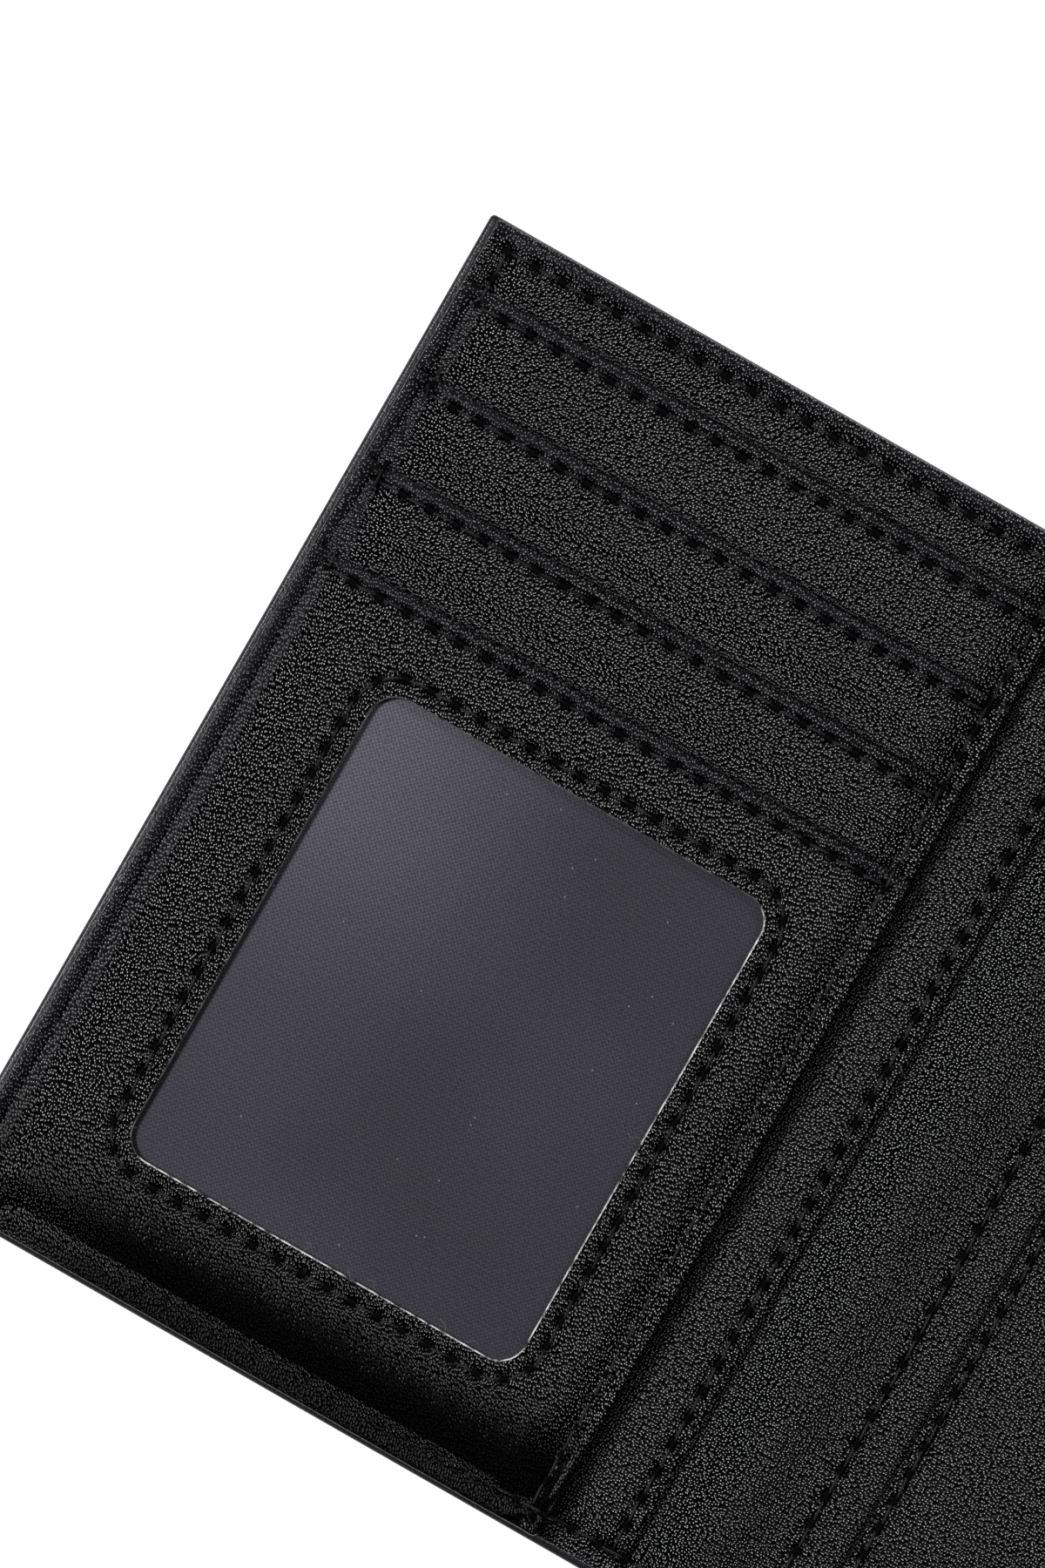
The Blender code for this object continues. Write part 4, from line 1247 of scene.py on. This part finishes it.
def spinePieces(spine):
    bulge = spineBulge(spine)
    side = spine.split("_")[0]
    panelZ, liningZ = spans(spine + "_inner_panel")[2], spans(spine + "_shell_lining")
    names = [f"{side}Spine{row}{part}" for row in ("Top", "Bottom") for part in (1, 2)]
    panelTop = topOf(lambda x, y: panelZ[1] + bulge(x), (), names)
    panelLow = bottomOf(lambda x, y: panelZ[1] - 0.7 * mm + bulge(x))
    laidOn(spine, spineSpans[spine], insideY, lambda x, y: panelTop(x, y, False))
    for part, (span, bodies, hinge) in enumerate(halves(spine), 1):
        skin = shellPiece(f"{spine}_shell_leather_{part}", spine + "_shell", span)
        bend(skin, bodies, hinge, span, spineValues["shellBend"])
        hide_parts(spine + "_shell")
        placesX = axisPlaces(span, (False, False), 0, 0.3 * mm)
        rows = axisPlaces(insideY, (True, True), panelValues["rim"], 0.6 * mm,
                          [(insideY[0], bottomSeamY + 1.5 * mm), (topSeamY - 1.5 * mm, insideY[1])], 0.3 * mm)
        panel = sheetPiece(f"{spine}_inner_leather_{part}", placesX, rows, panelValues["rim"], panelTop,
                           panelLow, innerLeather)
        bend(panel, bodies, hinge, span, spineValues["innerBend"])
        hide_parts(spine + "_inner_panel")
        liningX = [max(span[0], liningZ[0][0]), min(span[1], liningZ[0][1])]
        cloth = sheetPiece(f"{spine}_lining_cloth_{part}", axisPlaces(liningX, (False, False), 0, 0.8 * mm),
                           axisPlaces(liningZ[1], (False, False), 0, 4 * mm), 0,
                           lambda x, y: liningZ[2][1] + 0 * x, lambda x, y: liningZ[2][0] + 0 * x,
                           liningFabric)
        bend(cloth, bodies, hinge, span, spineValues["shellBend"])
        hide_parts(spine + "_shell_lining")


for spine in spineSpans:
    spinePieces(spine)
print("spines made")


# Thread along every seam, and along the back of the shell.

threadValues = {"over": 0.45 * mm}


def surfacePath(seam, body):
    # the seam's points, raised to the highest surface, with its steps softened as thread does
    path = seams[seam]["path"]
    step = max(np.linalg.norm(path[1] - path[0]), 1e-6)
    height = highestAt(body, path[:, 0], path[:, 1])
    reach = max(1, round(threadValues["over"] / step))
    closed = seams[seam]["closed"]
    mode = "wrap" if closed else "edge"
    wide = np.pad(height, reach, mode=mode)
    height = np.max([wide[turn:turn + len(path)] for turn in range(2 * reach + 1)], axis=0)
    wide = np.pad(height, 1, mode=mode)
    height = (wide[:-2] + 2 * wide[1:-1] + wide[2:]) / 4
    return np.concatenate([path, (height + stitchValues["Thread width"] * 0.1)[:, None]], axis=1)


def sewOn(name, seamName, body, nodes=(), seed=1):
    piece = stitchPiece(name, surfacePath(seamName, body), seams[seamName]["closed"], seed=seed)
    if body in frame["bodies"] and body not in spineSpans:
        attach(piece, body)
    if nodes:
        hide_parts(*nodes)
    return piece


for name in flapSides:
    body = name + "_flap"
    for part, nodes in (("Top", ()), ("Side", (name + "_perimeter_thread",)), ("Bottom", ()),
                        ("Stack", (name + "_stack_thread",)), ("Slip", (name + "_slip_pocket_thread",))):
        sewOn(f"{name}_{part.lower()}_stitches", name + part, body, nodes, seed=len(part) + len(name))
    for slot in cardSlots[name]:
        sewOn(slot + "_stitches", slot, body, (slot + "_thread",), seed=len(slot) + 2)
sewOn("id_edge_stitches", "idEdge", "left_flap", ("id_pocket_edge_thread",), seed=4)
sewOn("id_window_stitches", "window", "left_flap", ("id_window_thread",), seed=5)
sewOn("centre_top_stitches", "centreTop", "centre", ("centre_top_thread",), seed=6)
sewOn("centre_bottom_stitches", "centreBottom", "centre", ("centre_bottom_thread",), seed=7)
for number in (1, 2):
    sewOn(f"centre_pocket_{number}_stitches", f"centrePocket{number}", "centre",
          (f"centre_slip_pocket_{number}_thread",), seed=7 + number)
for spine in spineSpans:
    side = spine.split("_")[0]
    for row in ("Top", "Bottom"):
        for part, (span, bodies, hinge) in enumerate(halves(spine), 1):
            nodes = (spine + "_bottom_thread",) if row == "Bottom" else ()
            piece = sewOn(f"{spine}_{row.lower()}_stitches_{part}", f"{side}Spine{row}{part}", spine, nodes,
                          seed=part)
            bend(piece, bodies, hinge, span, spineValues["innerBend"])


def backStitches():
    depth = shellBase + shellValues["seamDip"] * 0.9
    seamBodies = [(name + part, name + "_flap") for name in flapSides for part in ("Top", "Side", "Bottom")]
    for seamName, body in seamBodies + [("centreTop", "centre"), ("centreBottom", "centre")]:
        path = seams[seamName]["path"]
        places = np.concatenate([path, np.full((len(path), 1), depth)], axis=1)
        piece = stitchPiece(f"{seamName}_back_stitches", places, up=(0, 0, -1), seed=11)
        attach(piece, body)
    for spine in spineSpans:
        side = spine.split("_")[0]
        for row in ("Top", "Bottom"):
            for part, (span, bodies, hinge) in enumerate(halves(spine), 1):
                path = seams[f"{side}Spine{row}{part}"]["path"]
                places = np.concatenate([path, np.full((len(path), 1), depth)], axis=1)
                piece = stitchPiece(f"{spine}_{row.lower()}_back_stitches_{part}", places, up=(0, 0, -1),
                                    seed=12)
                bend(piece, bodies, hinge, span, spineValues["shellBend"])


backStitches()
print("seams sewn")


# Camera, floor and light.

cameraValues = {"target": (-0.09705, 0.0079), "turn": 29.77, "height": 0.9, "frameHeight": 0.144}
camera = bpy.data.cameras.new("camera")
camera.sensor_fit = "VERTICAL"
camera.sensor_height = 36
camera.lens = 36 * cameraValues["height"] / cameraValues["frameHeight"]
camera.clip_end = 10
cameraObject = bpy.data.objects.new("camera", camera)
cameraObject.location = (*cameraValues["target"], cameraValues["height"])
cameraObject.rotation_euler = (0, 0, math.radians(cameraValues["turn"]))
bpy.context.scene.collection.objects.link(cameraObject)
bpy.context.scene.camera = cameraObject

floorMesh = bpy.data.meshes.new("floor")
floorMesh.from_pydata([(-3, -3, 0), (3, -3, 0), (3, 3, 0), (-3, 3, 0)], [], [(0, 1, 2, 3)])
floorObject = bpy.data.objects.new("floor", floorMesh)
floorFinish = newFinish("paleFloor", 0.9, Base_Color=(0.9, 0.9, 0.9, 1), Emission_Color=(1, 1, 1, 1),
                        Emission_Strength=0.75)[0]
floorMesh.materials.append(floorFinish)
bpy.context.scene.collection.objects.link(floorObject)

lights = {"left": {"place": (-0.56, -0.09, 0.76), "size": 0.22, "power": 5.9},
          "right": {"place": (0.24, 0.66, 0.64), "size": 0.3, "power": 2.4}}


def softLight(name, place, size, power):
    light = bpy.data.lights.new(name, "AREA")
    light.size = size
    light.energy = power
    lamp = bpy.data.objects.new(name, light)
    lamp.location = place
    aim = np.array([*cameraValues["target"], 0]) - np.array(place)
    across = math.hypot(aim[0], aim[1])
    lamp.rotation_euler = (math.atan2(across, -aim[2]), 0, math.atan2(-aim[0], aim[1]))
    lamp.visible_camera = False
    bpy.context.scene.collection.objects.link(lamp)


for name, values in lights.items():
    softLight(name, **values)
world = bpy.data.worlds.new("studio")
world.use_nodes = True
world.node_tree.nodes["Background"].inputs["Color"].default_value = (1, 1, 1, 1)
world.node_tree.nodes["Background"].inputs["Strength"].default_value = 0.04
bpy.context.scene.world = world
bpy.context.scene.view_settings.view_transform = "Standard"
